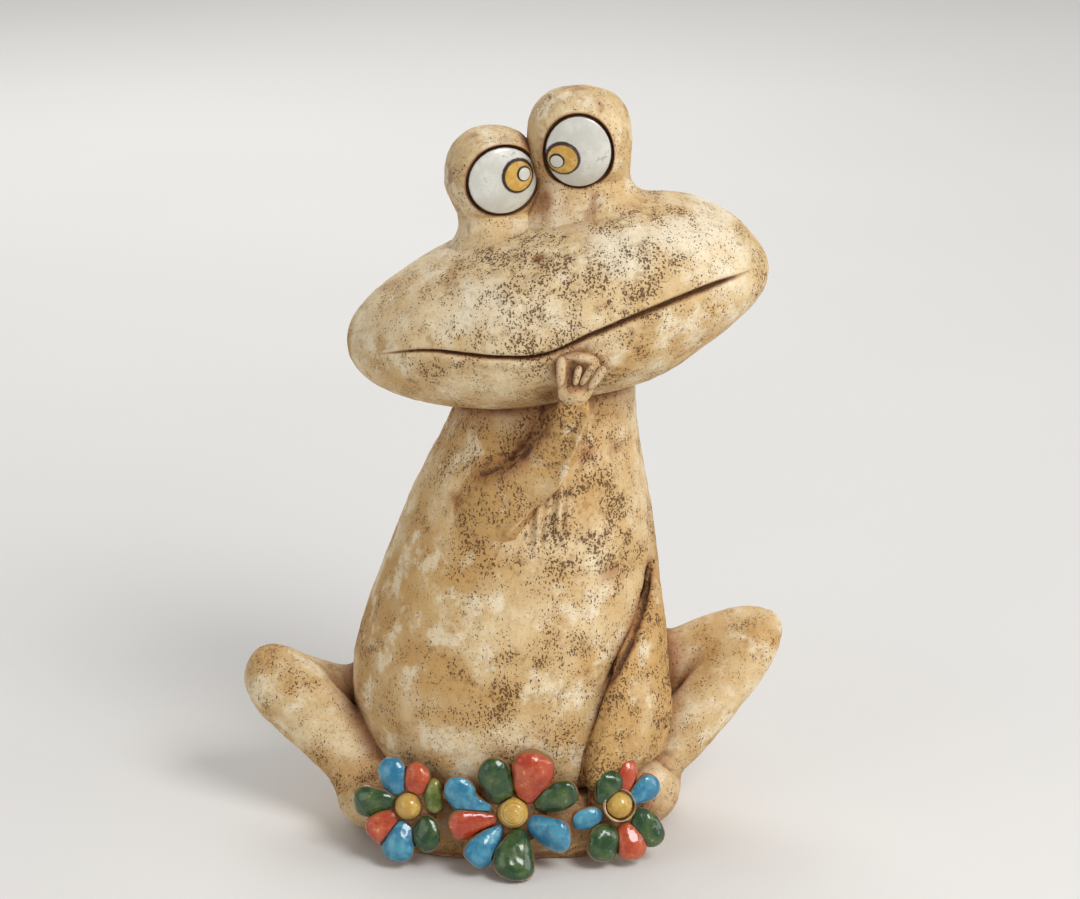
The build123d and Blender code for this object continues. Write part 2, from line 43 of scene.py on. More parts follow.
base_squareness = 3.2
foot_ring_width = 0.0090
foot_recess_depth = 0.0100
vent_radius = 0.0060
base_side_shares = [  # height, outline
    (0.00, 0.955),
    (0.20, 0.990),
    (0.55, 1.000),
    (0.85, 0.975),
    (1.00, 0.920),
]
base_patch = 0.015
bottom_wash = 0.0025
top_wash = 0.0030
slip_height = 0.0034
slip_spacing = 0.0024
slip_width = 0.0005
slip_rise = 0.0006
slip_start = 0.006
slip_fade = 0.004
slip_waves = [  # rise, and the way along the front for one radian
    (0.0010, 0.0034),
    (0.0006, 0.0015),
]


def paint(red, green, blue):
    """Colour given in screen values from 0 to 255, turned into the linear values that shaders use."""
    share = np.array([red, green, blue]) / 255
    linear = np.where(share <= 0.04045, share / 12.92, ((share + 0.055) / 1.055) ** 2.4)
    return (*linear.tolist(), 1.0)


class Shade:
    """One socket of a material's nodes. Arithmetic on it adds Math nodes, so a finish is written as a sum."""

    def __init__(self, tree, socket):
        self.tree = tree
        self.socket = socket

    def node(self, kind, settings, inputs, output=0):
        """Adds any node: its settings first, then the values or links of its sockets."""
        added = self.tree.nodes.new(kind)
        for name, value in settings.items():
            setattr(added, name, value)
        for key, value in inputs.items():
            if isinstance(value, Shade):
                self.tree.links.new(value.socket, added.inputs[key])
            else:
                added.inputs[key].default_value = value
        return Shade(self.tree, added.outputs[output])

    def math(self, operation, first, second):
        """Adds one Math node."""
        return self.node("ShaderNodeMath", {"operation": operation}, {0: first, 1: second})

    def __add__(self, other):
        return self.math("ADD", self, other)

    def __sub__(self, other):
        return self.math("SUBTRACT", self, other)

    def __rsub__(self, other):
        return self.math("SUBTRACT", other, self)

    def __mul__(self, other):
        return self.math("MULTIPLY", self, other)

    __radd__ = __add__
    __rmul__ = __mul__

    def noise(self, size, detail=2.0, roughness=0.55, distortion=0.0):
        """Cloudy noise about one half, with lumps of the given size in metres."""
        return self.node("ShaderNodeTexNoise", {}, {"Vector": self, "Scale": 1 / size, "Detail": detail,
                                                    "Roughness": roughness, "Distortion": distortion})

    def scatter(self, size):
        """Distance to the nearest of many scattered points, as a share of their spacing in metres."""
        return self.node("ShaderNodeTexVoronoi", {}, {"Vector": self, "Scale": 1 / size}, "Distance")

    def between(self, low, high):
        """Smooth step from 0 at low to 1 at high."""
        return self.node("ShaderNodeMapRange", {"interpolation_type": "SMOOTHSTEP"},
                         {"Value": self, "From Min": low, "From Max": high})

    def mix(self, bare, covered):
        """Colour that goes from bare to covered as this value goes from 0 to 1."""
        return self.node("ShaderNodeMix", {"data_type": "RGBA"}, {0: self, 6: bare, 7: covered}, 2)

    def measure(self, name):
        """The value of one of the piece's own point attributes."""
        return self.node("ShaderNodeAttribute", {"attribute_name": name}, {}, "Fac")

    def feed(self, shader, name):
        """Links this value to one of the shader's sockets."""
        self.tree.links.new(self.socket, shader.inputs[name])


def new_finish(name):
    """Material with one Principled shader, and the Object coordinates that its patterns read."""
    material = bpy.data.materials.new(name)
    material.use_nodes = True
    tree = material.node_tree
    place = Shade(tree, tree.nodes.new("ShaderNodeTexCoord").outputs["Object"])
    return material, tree.nodes["Principled BSDF"], place


clay_cloud = 0.024
clay_patch = 0.0095
clay_mottle = 0.0030
clay_grain = 0.0011
pit_crowd = 0.0070
pit_spacing = 0.00080
pit_stroke_spacing = 0.00090
pit_tear = 0.0009
pit_relief = 0.0005
ochre_clay = paint(214, 184, 133)
cream_clay = paint(234, 213, 172)
rubbed_clay = paint(243, 230, 200)
mottled_clay = paint(197, 158, 105)
# The deep ochre also serves as painted shade, and the bleached clay as painted light, on the body and head.
deep_ochre_and_shade = paint(197, 153, 89)
bleached_and_lit_clay = paint(241, 229, 202)
# The two wash colours below also paint shade, wherever the stain measure carries painted shade.
red_brown_wash_and_shade = paint(152, 99, 58)
dark_wash_and_shade = paint(80, 47, 26)
crowded_brown = paint(180, 138, 88)
pit_brown = paint(92, 60, 33)
sunk_brown = paint(112, 76, 44)


def fired_clay():
    """Cream stoneware under a rubbed brown wash.

    Slow clouds take the colour from ochre to cream, rubbed patches make it paler and finer clouds darken it unevenly;
    the ochre measure adds to that, and bleaches the clay where it is negative. On the body and head that measure is
    partly painted shade where it is high and partly painted light where it is negative.
    A red-brown wash lies where the stain measure is high, and the same wash also stands for painted shade in the fold
    above the right forearm, below the chin and round the hand. Pits are dark specks, some drawn out upwards: whatever
    lies close to one of many scattered points, and the closeness asked for falls with the pitting measure and a slow
    noise.
    """
    material, shader, place = new_finish("fired_clay")
    stain = place.measure("stain")
    ochre = place.measure("ochre")
    pitting = place.measure("pitting")
    sunk = place.measure("sunk")
    clouds = place.noise(clay_cloud, 4)
    patches = place.noise(clay_patch, 5, 0.62)
    mottle = place.noise(clay_mottle, 4, 0.65)
    colour = clouds.between(0.36, 0.64).mix(ochre_clay, cream_clay)
    rubbed = (patches - 0.10 * pitting).between(0.45, 0.62)
    colour = (rubbed * 0.7).mix(colour, rubbed_clay)
    colour = (mottle.between(0.46, 0.70) * 0.5).mix(colour, mottled_clay)
    colour = ((ochre * (1.4 - rubbed)).between(0.0, 1.3) * 0.9).mix(colour, deep_ochre_and_shade)
    colour = ((0.0 - ochre).between(0.0, 0.7) * 0.8).mix(colour, bleached_and_lit_clay)
    # Wash, together with painted shade in the fold above the right forearm, below the chin and round the hand.
    soaked_and_shaded = stain * (patches * 0.9 + mottle * 0.5 + 0.25)
    colour = (soaked_and_shaded.between(0.03, 0.75) * 0.92).mix(colour, red_brown_wash_and_shade)
    colour = soaked_and_shaded.between(0.55, 1.15).mix(colour, dark_wash_and_shade)
    crowd = place.noise(pit_crowd, 5, 0.70).between(0.36, 0.60) * (0.30 + 0.70 * pitting)
    colour = (crowd * 0.35).mix(colour, crowded_brown)
    stir = place.node("ShaderNodeTexNoise", {}, {"Vector": place, "Scale": 1 / pit_tear, "Detail": 2.0}, "Color")
    torn = place.node("ShaderNodeVectorMath", {"operation": "MULTIPLY_ADD"},
                      {0: stir, 1: (pit_tear, pit_tear, pit_tear), 2: place})
    drawn_out = place.node("ShaderNodeVectorMath", {"operation": "MULTIPLY"}, {0: torn, 1: (1.0, 1.0, 0.4)})
    speck = (0.13 + 0.34 * crowd - torn.scatter(pit_spacing)).between(0.0, 0.12)
    stroke = (0.10 + 0.34 * crowd - drawn_out.scatter(pit_stroke_spacing)).between(0.0, 0.12)
    pit = speck + stroke - speck * stroke
    colour = (pit * 0.85).mix(colour, pit_brown)
    colour = (sunk * 0.35).mix(colour, sunk_brown)
    colour.feed(shader, "Base Color")
    (0.60 + 0.22 * pit + 0.14 * clouds).feed(shader, "Roughness")
    shader.inputs["Specular IOR Level"].default_value = 0.35
    relief = place.noise(clay_grain, 3) * 0.4 + mottle * 0.6 - pit
    bump = place.node("ShaderNodeBump", {}, {"Strength": 1.0, "Distance": pit_relief, "Height": relief})
    bump.feed(shader, "Normal")
    return material


clay_finish = fired_clay()


def through(table, at):
    """Smooth line through stations: the first column says where, the others what.

    Between two stations runs a cubic, whose slope at each is that of the parabola through it and its neighbours.
    """
    table = np.asarray(table, float)
    where, what = table[:, 0], table[:, 1:]
    step = np.diff(where)[:, None]
    slope = np.diff(what, axis=0) / step
    inner = (slope[:-1] * step[1:] + slope[1:] * step[:-1]) / (step[:-1] + step[1:])
    tangent = np.concatenate([slope[:1], inner, slope[-1:]])
    span = np.clip(np.searchsorted(where, at, side="right") - 1, 0, len(step) - 1)
    width = step[span]
    t = (np.asarray(at) - where[span])[..., None] / width
    rise = what[span] * (1 + 2 * t) * (1 - t) ** 2 + what[span + 1] * t * t * (3 - 2 * t)
    bend = tangent[span] * t * (1 - t) ** 2 - tangent[span + 1] * t * t * (1 - t)
    return np.moveaxis(rise + width * bend, -1, 0)


def power(value, exponent):
    """A power that keeps the sign of its base."""
    return np.sign(value) * np.abs(value) ** exponent


def lumps(points, size, seed):
    """Gradient noise about zero, with lumps of the given size.

    Each corner of a cubic lattice has a fixed slope, hashed from its place and the seed, and a point blends the
    slopes of the eight corners round it by a smooth fifth-degree step.
    """
    cell = points / size
    corner = np.floor(cell).astype(np.int64)
    part = cell - corner
    ease = part ** 3 * (part * (part * 6 - 15) + 10)
    total = np.zeros(points.shape[:-1])
    for offset in np.ndindex(2, 2, 2):
        x, y, z = np.moveaxis(corner + offset, -1, 0)
        code = (x * 73856093 ^ y * 19349663 ^ z * 83492791 ^ seed * 49979687) & 0x7FFFFFFF
        code = ((code ^ (code >> 13)) * 1274126177) & 0x7FFFFFFF
        code = ((code ^ (code >> 15)) * 1103515245) & 0x3FFFFFFF
        slope = np.stack([code & 1023, (code >> 10) & 1023, (code >> 20) & 1023], -1) / 511.5 - 1
        weight = np.prod(np.where(offset, ease, 1 - ease), -1)
        total += weight * np.sum((part - offset) * slope, -1)
    return total


def facing(grid):
    """Unit directions square to a grid's skin, pointing out: the cross product of its steps round and along."""
    around = np.roll(grid, -1, 1) - np.roll(grid, 1, 1)
    along = np.gradient(grid, axis=0)
    square = np.cross(around, along)
    square /= np.maximum(np.linalg.norm(square, axis=-1, keepdims=True), 1e-12)
    return square * np.sign(np.sum(square * (grid - grid.mean((0, 1)))))


def lift(grid, height):
    """Moves a grid's points out of its skin by a height of their own."""
    return grid + facing(grid) * height[..., None]


def flare(grid, outside, radius):
    """Draws a piece's skin out where it nears what it is luted to, as a fillet of slip does.

    At a gap g under the radius r the skin rises by r - sqrt(g (2 r - g)), a quarter circle, and the rise fades
    again over the depth r inside the neighbour. A drawn point then goes back to its old gap, down the gap's slope.
    """
    gap = outside(grid)
    near = np.clip(gap, 0, radius)
    fillet = (radius - np.sqrt(near * (2 * radius - near))) * np.clip(1 + gap / radius, 0, 1)
    drawn = lift(grid, fillet)
    step = 1e-4
    slope = np.stack([outside(drawn + step * axis) - outside(drawn - step * axis) for axis in np.eye(3)], -1)
    slope /= np.maximum(np.linalg.norm(slope, axis=-1, keepdims=True), 1e-12)
    return drawn - slope * ((outside(drawn) - gap) * (fillet > 1e-6))[..., None]


palm_mark = 0.022
finger_mark = 0.0080
grain_mark = 0.0033
grain_rise = 0.00022
torn_patch = 0.0060
pit_width = 0.0017
pit_depth = 0.0003


def worked(grid, pitting, swell=0.0006):
    """Hand-worked clay: slow swells left by the hand, a fine grain, and pits where the pitting share is high.

    A pit is a peak of a fine noise that lies where a slower one is high. Gives the skin and how far each point is sunk.
    """
    swells = swell * (lumps(grid, palm_mark, 1) + 0.6 * lumps(grid, finger_mark, 2))
    swells = swells + grain_rise * lumps(grid, grain_mark, 6)
    torn = np.clip((lumps(grid, torn_patch, 4) + 0.55 * pitting - 0.16) / 0.3, 0, 1)
    sunk = torn * np.clip((lumps(grid, pit_width, 3) - 0.06) / 0.25, 0, 1)
    return lift(grid, swells - pit_depth * sunk), sunk


def wash(gap, reach):
    """How much brown wash is left at a gap to the next piece: full in the crease, fading over the reach.
    Some calls use it for painted shade instead: the head's shadow below the chin and the shadow round the hand.
    """
    return np.exp(-(np.maximum(gap, 0) / reach) ** 1.3)


def add_piece(name, grid, finish, slot, replaced, joined=False, **measures):
    """Makes a closed piece from a grid of points, whose columns run round it and join up.

    The first and last rows are closed by fans of triangles to a middle point, or, where joined is set, meet each
    other. Faces are turned round where most of them look inwards. Measures become point attributes for the finish.
    """
    rows, columns = grid.shape[:2]
    index = np.arange(rows * columns).reshape(rows, columns)
    beside = np.roll(index, -1, axis=1)
    points = grid.reshape(-1, 3)
    above = np.roll(index, -1, axis=0) if joined else index[1:]
    above_beside = np.roll(above, -1, axis=1)
    count = len(above)
    quads = np.stack([index[:count], beside[:count], above_beside, above], -1).reshape(-1, 4)
    fans = np.zeros((0, 3), int)
    if not joined:
        points = np.concatenate([points, [grid[0].mean(0), grid[-1].mean(0)]])
        low, high = np.full(columns, rows * columns), np.full(columns, rows * columns + 1)
        fans = np.concatenate([np.stack([beside[0], index[0], low], -1),
                               np.stack([index[-1], beside[-1], high], -1)])
    corners = points[quads]
    out = np.cross(corners[:, 2] - corners[:, 0], corners[:, 3] - corners[:, 1])
    if np.sum(out * (corners.mean(1) - points.mean(0))) < 0:
        quads, fans = quads[:, ::-1], fans[:, ::-1]
    mesh = bpy.data.meshes.new(name)
    mesh.vertices.add(len(points))
    mesh.vertices.foreach_set("co", points.astype(np.float32).ravel())
    loops = np.concatenate([quads.ravel(), fans.ravel()]).astype(np.int32)
    starts = np.concatenate([np.arange(len(quads)) * 4, len(quads) * 4 + np.arange(len(fans)) * 3])
    mesh.loops.add(len(loops))
    mesh.loops.foreach_set("vertex_index", loops)
    mesh.polygons.add(len(starts))
    mesh.polygons.foreach_set("loop_start", starts.astype(np.int32))
    mesh.update(calc_edges=True)
    mesh.shade_smooth()
    for measure, values in measures.items():
        values = np.broadcast_to(values, (rows, columns))
        kept = values.ravel()
        if not joined:
            kept = np.concatenate([kept, [values[0].mean(), values[-1].mean()]])
        attribute = mesh.attributes.new(measure, "FLOAT", "POINT")
        attribute.data.foreach_set("value", kept.astype(np.float32))
    mesh.materials.append(finish)
    piece = bpy.data.objects.new(name, mesh)
    bpy.context.scene.collection.objects.link(piece)
    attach(piece, "root")
    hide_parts(*replaced)


def outside_base(points):
    """How far points lie outside the base slab, in the plane of its outline or above its top."""
    height = np.clip(points[..., 2] / base_height, 0, 1)
    outline, = through(base_side_shares, height)
    x, y = points[..., 0] / (base_half_width * outline), points[..., 1] / (base_half_depth * outline)
    reach = (np.abs(x) ** base_squareness + np.abs(y) ** base_squareness) ** (1 / base_squareness)
    beside = (1 - 1 / np.maximum(reach, 1e-6)) * np.hypot(points[..., 0], points[..., 1])
    above = points[..., 2] - base_height
    return np.where(above > 0, np.hypot(np.maximum(beside, 0), above), np.maximum(beside, above))


def base_slab():
    """A closed profile carried round the base's outline.

    The profile runs up the side, in over the top, down the vent, out under the recess and down to the foot ring;
    it is sampled evenly along its length and averaged over a few samples to soften its corners.
    """
    columns, samples, soft = 300, 220, 5
    side = np.array([(1.0, share, height * base_height) for height, share in base_side_shares])
    ring_share = 1 - foot_ring_width / base_half_width
    vent_share = vent_radius / base_half_width
    hollow = np.array([
        (1.0, 0.55, base_height),
        (0.0, vent_share, base_height),
        (0.0, vent_share, foot_recess_depth),
        (1.0, 0.50, foot_recess_depth),
        (1.0, ring_share, foot_recess_depth),
        (1.0, ring_share, 0.0),
    ])
    profile = np.concatenate([side, hollow, side[:1]])
    stretch = np.hypot(np.diff(profile[:, 1]) * base_half_width, np.diff(profile[:, 2]))
    length = np.concatenate([[0], np.cumsum(stretch)])
    at = np.linspace(0, length[-1], samples, endpoint=False)
    square, share, height = (np.interp(at, length, column) for column in profile.T)
    soften = np.ones(soft) / soft
    share, height = (np.convolve(np.pad(line, soft // 2, "wrap"), soften, "valid") for line in (share, height))
    angle = np.linspace(0, 2 * np.pi, columns, endpoint=False)
    bend = 2 / (2 + (base_squareness - 2) * square)[:, None]
    x = base_half_width * share[:, None] * power(np.cos(angle), bend)
    y = base_half_depth * share[:, None] * power(np.sin(angle), bend)
    return np.stack([x, y, np.broadcast_to(height[:, None], x.shape)], -1)


base_grid = base_slab()
base_x, base_y, base_z = np.moveaxis(base_grid, -1, 0)
base_pitting = np.clip(0.35 + 1.2 * lumps(base_grid, base_patch, 7), 0, 1)
base_side = np.abs(base_z - 0.5 * base_height) < 0.45 * base_height
base_skin, base_sunk = worked(base_grid, base_pitting)
above_slip = base_z - slip_height - sum(rise * np.sin(base_x / way) for rise, way in slip_waves)
from_slip = np.minimum(np.abs(above_slip), np.abs(above_slip - slip_spacing))
slip_ridge = np.exp(-(from_slip / slip_width) ** 2) * np.clip((base_x - slip_start) / slip_fade, 0, 1)
slip_ridge = slip_ridge * base_side * (base_y < 0)
base_skin = lift(base_skin, slip_rise * slip_ridge)
base_skin[..., 2] = np.maximum(base_skin[..., 2], 0)
base_stain = 0.50 * wash(base_z, bottom_wash) + 0.45 * wash(base_height - base_z, top_wash)
base_stain = (base_stain + 0.35 * base_side) * (1 - 0.7 * slip_ridge)
add_piece("base_slab", base_skin, clay_finish, "fired_clay", ["base"], True,
          stain=base_stain, ochre=0.6, pitting=base_pitting * 0.7, sunk=base_sunk * base_side)

# Body: a hollow pear of pinched stoneware, luted to the base with slip, that leans to the frog's left as it rises.
# Its form comes first, because the limbs are set against it; its surface is worked last, as on the real piece.
torso_half_width = 0.0493
torso_front_depth = 0.0455
torso_back_depth = 0.0440
torso_height = 0.1454
torso_lean = 0.0137
torso_squareness = 2.15
torso_shares = [  # height, lean, half width, depth
    (0.000, 0.00, 0.830, 0.905),
    (0.040, 0.00, 0.930, 0.970),
    (0.100, -0.03, 0.985, 0.995),
    (0.193, -0.03, 1.000, 1.000),
    (0.321, 0.05, 0.938, 0.950),
    (0.459, 0.25, 0.838, 0.850),
    (0.628, 0.47, 0.696, 0.715),
    (0.766, 0.73, 0.566, 0.610),
    (0.880, 0.88, 0.515, 0.570),
    (1.000, 1.00, 0.490, 0.550),
]
tone_patch = 0.016
tone_grain = 0.007


def torso_at(height_share):
    """Lean, half width and depth share of the body at shares of its height."""
    lean, width, depth = through(torso_shares, height_share)
    return torso_lean * lean, torso_half_width * width, depth


def outside_torso(points):
    """How far points lie outside the body, measured from its leaning axis."""
    share = (points[..., 2] - base_height) / torso_height
    lean, half_width, depth = torso_at(np.clip(share, 0, 1))
    x, y = points[..., 0] - lean, points[..., 1]
    deep = depth * np.where(y < 0, torso_front_depth, torso_back_depth)
    reach = np.abs(x / half_width) ** torso_squareness + np.abs(y / deep) ** torso_squareness
    beside = (1 - 1 / np.maximum(reach ** (1 / torso_squareness), 1e-6)) * np.hypot(x, y)
    return np.maximum(beside, (np.abs(share - 0.5) - 0.5) * torso_height)


def torso_front(across, height_share):
    """Points on the front of the body, and the level directions that its skin faces there."""
    lean, half_width, depth = torso_at(height_share)
    side = np.clip((across - lean) / half_width, -1, 1)
    front = (1 - np.abs(side) ** torso_squareness) ** (1 / torso_squareness)
    point = np.stack([across, -depth * torso_front_depth * front, base_height + torso_height * height_share], -1)
    outward = np.stack([side / half_width, -front / (depth * torso_front_depth), np.zeros_like(side)], -1)
    return point, outward / np.linalg.norm(outward, axis=-1, keepdims=True)


def patched(grid, level, patches, lowest=0.0):
    """Share of pits or of a tone over a skin: an even level, cloudy all over, with bell-shaped patches on the front."""
    total = level + 0.9 * lumps(grid, tone_patch, 11) + 0.5 * lumps(grid, tone_grain, 12)
    front = grid[..., 1] < 0
    for x, z, radius, amount in patches:
        apart = ((grid[..., 0] - x) ** 2 + (grid[..., 2] - z) ** 2) / radius ** 2
        total = total + amount * np.exp(-apart) * front
    return np.clip(total, lowest, 1)


def torso_pear():
    """Ovals stacked along the leaning axis, with the columns drawn closer together on the front."""
    rows, columns, closer = 224, 420, 0.32
    height_share = np.linspace(0, 1, rows)[:, None]
    turn = np.linspace(-np.pi, np.pi, columns, endpoint=False)[None, :]
    angle = turn - closer * np.sin(turn)
    lean, half_width, depth = torso_at(height_share)
    x = lean + half_width * power(np.sin(angle), 2 / torso_squareness)
    front = power(np.cos(angle), 2 / torso_squareness)
    y = -depth * front * np.where(front > 0, torso_front_depth, torso_back_depth)
    z = np.broadcast_to(base_height + torso_height * height_share, x.shape)
    return np.stack([x, y, z], -1)


torso_grid = torso_pear()

# Head: a long hollow lens of stoneware luted across the neck, rolled so that the frog's left cheek is higher.
# The mouth is one line from cheek to cheek. Its surface, like the body's, is worked last.
head_half_length = 0.0643
head_up = 0.0286
head_down = 0.0292
head_front = 0.0410
head_back = 0.0340
head_forward = 0.0060
head_centre = np.array([torso_lean, -head_forward, base_height + torso_height])
head_roll = np.radians(11.4)
head_squareness = 2.1
head_shares = [  # along the half length, upper, lower, depth
    (-1.000, 0.00, 0.00, 0.00),
    (-0.965, 0.24, 0.26, 0.25),
    (-0.880, 0.42, 0.46, 0.46),
    (-0.720, 0.62, 0.66, 0.68),
    (-0.480, 0.83, 0.83, 0.87),
    (-0.200, 0.98, 0.94, 0.98),
    (0.100, 1.03, 0.93, 1.00),
    (0.400, 1.02, 0.87, 0.92),
    (0.680, 0.88, 0.62, 0.73),
    (0.870, 0.61, 0.39, 0.50),
    (0.965, 0.30, 0.22, 0.27),
    (1.000, 0.00, 0.00, 0.00),
]
mouth_shares = [  # along the half length, height, depth
    (-0.870, 0.050, 0.0),
    (-0.600, 0.090, 0.7),
    (-0.280, -0.060, 0.9),
    (-0.090, -0.115, 1.0),
    (0.155, 0.000, 1.0),
    (0.570, 0.130, 1.0),
    (0.770, 0.145, 0.8),
    (0.945, 0.110, 0.0),
]
head_turn = np.array([
    [np.cos(head_roll), 0, -np.sin(head_roll)],
    [0, 1, 0],
    [np.sin(head_roll), 0, np.cos(head_roll)],
])


def head_at(along):
    """Upper, lower and depth shares along the head, read on a half circle so that both ends are round."""
    table = np.array(head_shares)
    table[:, 0] = -np.arccos(table[:, 0])
    return through(table, -np.arccos(np.clip(along, -1, 1)))


def outside_head(points):
    """How far points lie outside the head, measured from its long axis."""
    own = (points - head_centre) @ head_turn
    along = own[..., 0] / head_half_length
    upper, lower, depth = np.maximum(head_at(np.clip(along, -0.995, 0.995)), 0.02)
    high = np.where(own[..., 2] > 0, head_up * upper, head_down * lower)
    deep = depth * np.where(own[..., 1] < 0, head_front, head_back)
    reach = np.hypot(own[..., 1] / deep, own[..., 2] / high)
    beside = (1 - 1 / np.maximum(reach, 1e-6)) * np.hypot(own[..., 1], own[..., 2])
    beyond = (np.abs(along) - 1) * head_half_length
    return np.where(beyond > 0, np.hypot(np.maximum(beside, 0), beyond), beside)


def head_lens():
    """Ovals along the head's long axis, with the columns drawn closer together at the mouth, which one column follows.

    Gives the grid and, for each point, the way round from the mouth and the mouth's depth there.
    """
    rows, columns, closer = 248, 392, 0.45
    along = -np.cos(np.linspace(0.02, np.pi - 0.02, rows))[:, None]
    turn = np.linspace(-1, 1, columns, endpoint=False)[None, :]
    upper, lower, depth = head_at(along)
    mouth_height, mouth_cut = through(mouth_shares, np.clip(along, mouth_shares[0][0], mouth_shares[-1][0]))
    mouth_height = mouth_height * head_up
    level = np.clip(mouth_height / np.where(mouth_height > 0, head_up * upper, head_down * lower), -0.9, 0.9)
    from_mouth = np.pi * (closer * turn + (1 - closer) * turn ** 3)
    angle = np.arcsin(power(level, head_squareness / 2)) + from_mouth
    front = power(np.cos(angle), 2 / head_squareness)
    rise = power(np.sin(angle), 2 / head_squareness)
    y = -depth * front * np.where(front > 0, head_front, head_back)
    z = rise * np.where(rise > 0, head_up * upper, head_down * lower)
    x = np.broadcast_to(head_half_length * along, y.shape)
    own = np.stack([x, y, z], -1)
    inside = (along > mouth_shares[0][0]) & (along < mouth_shares[-1][0])
    beside_mouth = from_mouth * (head_up + head_front) / 2 * depth
    return head_centre + own @ head_turn.T, beside_mouth, np.clip(mouth_cut, 0, 1) * inside


head_grid, beside_mouth, mouth_cut = head_lens()

# Legs: rolled clubs of stoneware, the shin laid in front of the thigh, with the knees raised beside the body, and feet
# like rounded lobes that point forward and hold up the outer flowers. They are luted to the body and the base with
# slip and smoothed with a damp finger, and the wash is thick in the fold where they meet the body.
front_way = np.array([0, -1.0, 0])
upright = np.array([0, 0, 1.0])


class Lobe:
    """Closed lobe along a line, with elliptical sections and both ends rounded.

    At a share t of the length the size is (1 - |2 t - 1| ** bluntness) ** (1 / 2), times a straight taper from the
    start share to the end share. Its middle line bows aside by 4 t (1 - t) times the bend and the length.
    """

    def __init__(self, start, along, outward, length, half_width, half_thickness, shape_shares, bend_share=0.0):
        self.start = np.asarray(start, float)
        self.along = np.asarray(along, float) / np.linalg.norm(along)
        outward = outward - self.along * np.dot(outward, self.along)
        self.outward = outward / np.linalg.norm(outward)
        self.across = np.cross(self.along, self.outward)
        self.length = length
        self.half_width = half_width
        self.half_thickness = half_thickness
        self.shape_shares = shape_shares
        self.bow = -4 * bend_share * length

    def size(self, share):
        """Size of the section at shares of the length, as the formula above gives it."""
        start, end, bluntness = self.shape_shares
        return (1 - np.abs(2 * share - 1) ** bluntness) ** 0.5 * (start + (end - start) * share)

    def grid(self, rows, columns):
        """Ovals square to the bowed middle line, set closer together towards both ends."""
        share = (1 - np.cos(np.linspace(0.04, np.pi - 0.04, rows)))[:, None, None] / 2
        angle = np.linspace(0, 2 * np.pi, columns, endpoint=False)[None, :, None]
        slope = self.bow * (1 - 2 * share) / self.length
        aside = (self.across - slope * self.along) / np.sqrt(1 + slope ** 2)
        middle = self.start + share * self.length * self.along + self.bow * share * (1 - share) * self.across
        top = self.half_thickness * np.sin(angle) * self.outward
        return middle + self.size(share) * (self.half_width * np.cos(angle) * aside + top)

    def outside(self, points):
        """How far points lie outside the lobe, measured from its long axis."""
        own = points - self.start
        way = own @ self.along / self.length
        within = np.clip(way, 0.01, 0.99)
        size = np.maximum(self.size(within), 0.02)
        side, top = own @ self.across - self.bow * within * (1 - within), own @ self.outward
        reach = np.hypot(side / (self.half_width * size), top / (self.half_thickness * size))
        beside = (1 - 1 / np.maximum(reach, 1e-6)) * np.hypot(side, top)
        beyond = (np.abs(way - 0.5) - 0.5) * self.length
        return np.where(beyond > 0, np.hypot(np.maximum(beside, 0), beyond), beside)


def club(start, end, start_radius, end_radius, radius, shape_shares):
    """Round club between two joint centres, reaching past each by the radius there."""
    start, end = np.array(start), np.array(end)
    along = (end - start) / np.linalg.norm(end - start)
    length = np.linalg.norm(end - start) + start_radius + end_radius
    return Lobe(start - along * start_radius, along, front_way, length, radius, radius, shape_shares)


# Each club's start, end, reach past each of them, radius, and shares at the start and the end with their bluntness;
# then each foot's start, its directions, its length and half sizes.
thigh_shares = (1.00, 0.85, 3.4)
right_shin = club((-0.0719, -0.0050, 0.0422), (-0.0410, -0.0220, 0.0160), 0.0132, 0.0090, 0.0132, (1.02, 0.62, 3.4))
right_thigh = club((-0.0353, 0.0120, 0.0250), (-0.0719, 0.0010, 0.0422), 0.0100, 0.0066, 0.0100, thigh_shares)
left_shin = club((0.0765, 0.0030, 0.0536), (0.0450, -0.0150, 0.0200), 0.0102, 0.0090, 0.0102, (0.90, 0.92, 3.0))
left_thigh = club((0.0353, 0.0120, 0.0340), (0.0765, 0.0080, 0.0558), 0.0120, 0.0070, 0.0116, thigh_shares)
foot_shares = (0.95, 1.00, 2.8)
right_foot = Lobe((-0.0417, 0.0100, 0.0120), front_way, upright, 0.046, 0.0135, 0.0115, foot_shares)
left_foot = Lobe((0.0393, 0.0140, 0.0135), front_way, upright, 0.048, 0.0135, 0.0130, foot_shares)
legs = [  # name, form, fillet to the body, fillet to its neighbours, neighbours
    ("right_thigh", right_thigh, 0.006, 0.0070, [right_shin]),
    ("right_shin", right_shin, 0.004, 0.0060, [right_thigh, right_foot]),
    ("left_thigh", left_thigh, 0.005, 0.0025, [left_shin]),
    ("left_shin", left_shin, 0.004, 0.0025, [left_thigh, left_foot]),
    ("right_foot", right_foot, 0.003, 0.0020, [right_shin]),
    ("left_foot", left_foot, 0.003, 0.0015, [left_shin]),
]
leg_wash = 0.0050
joint_wash = 0.0040
fold_reach = 0.0090
foot_clearance = 0.0003


def nearest(points, forms):
    """Gap to the nearest of several lobes."""
    return np.min([form.outside(points) for form in forms], axis=0)


def outside_trunk(points):
    """Gap to the body or the base, whichever is nearer."""
    return np.minimum(outside_torso(points), outside_base(points))


def deepest(*washes):
    """The strongest of several washes and painted shades at each point."""
    return np.maximum.reduce(washes)


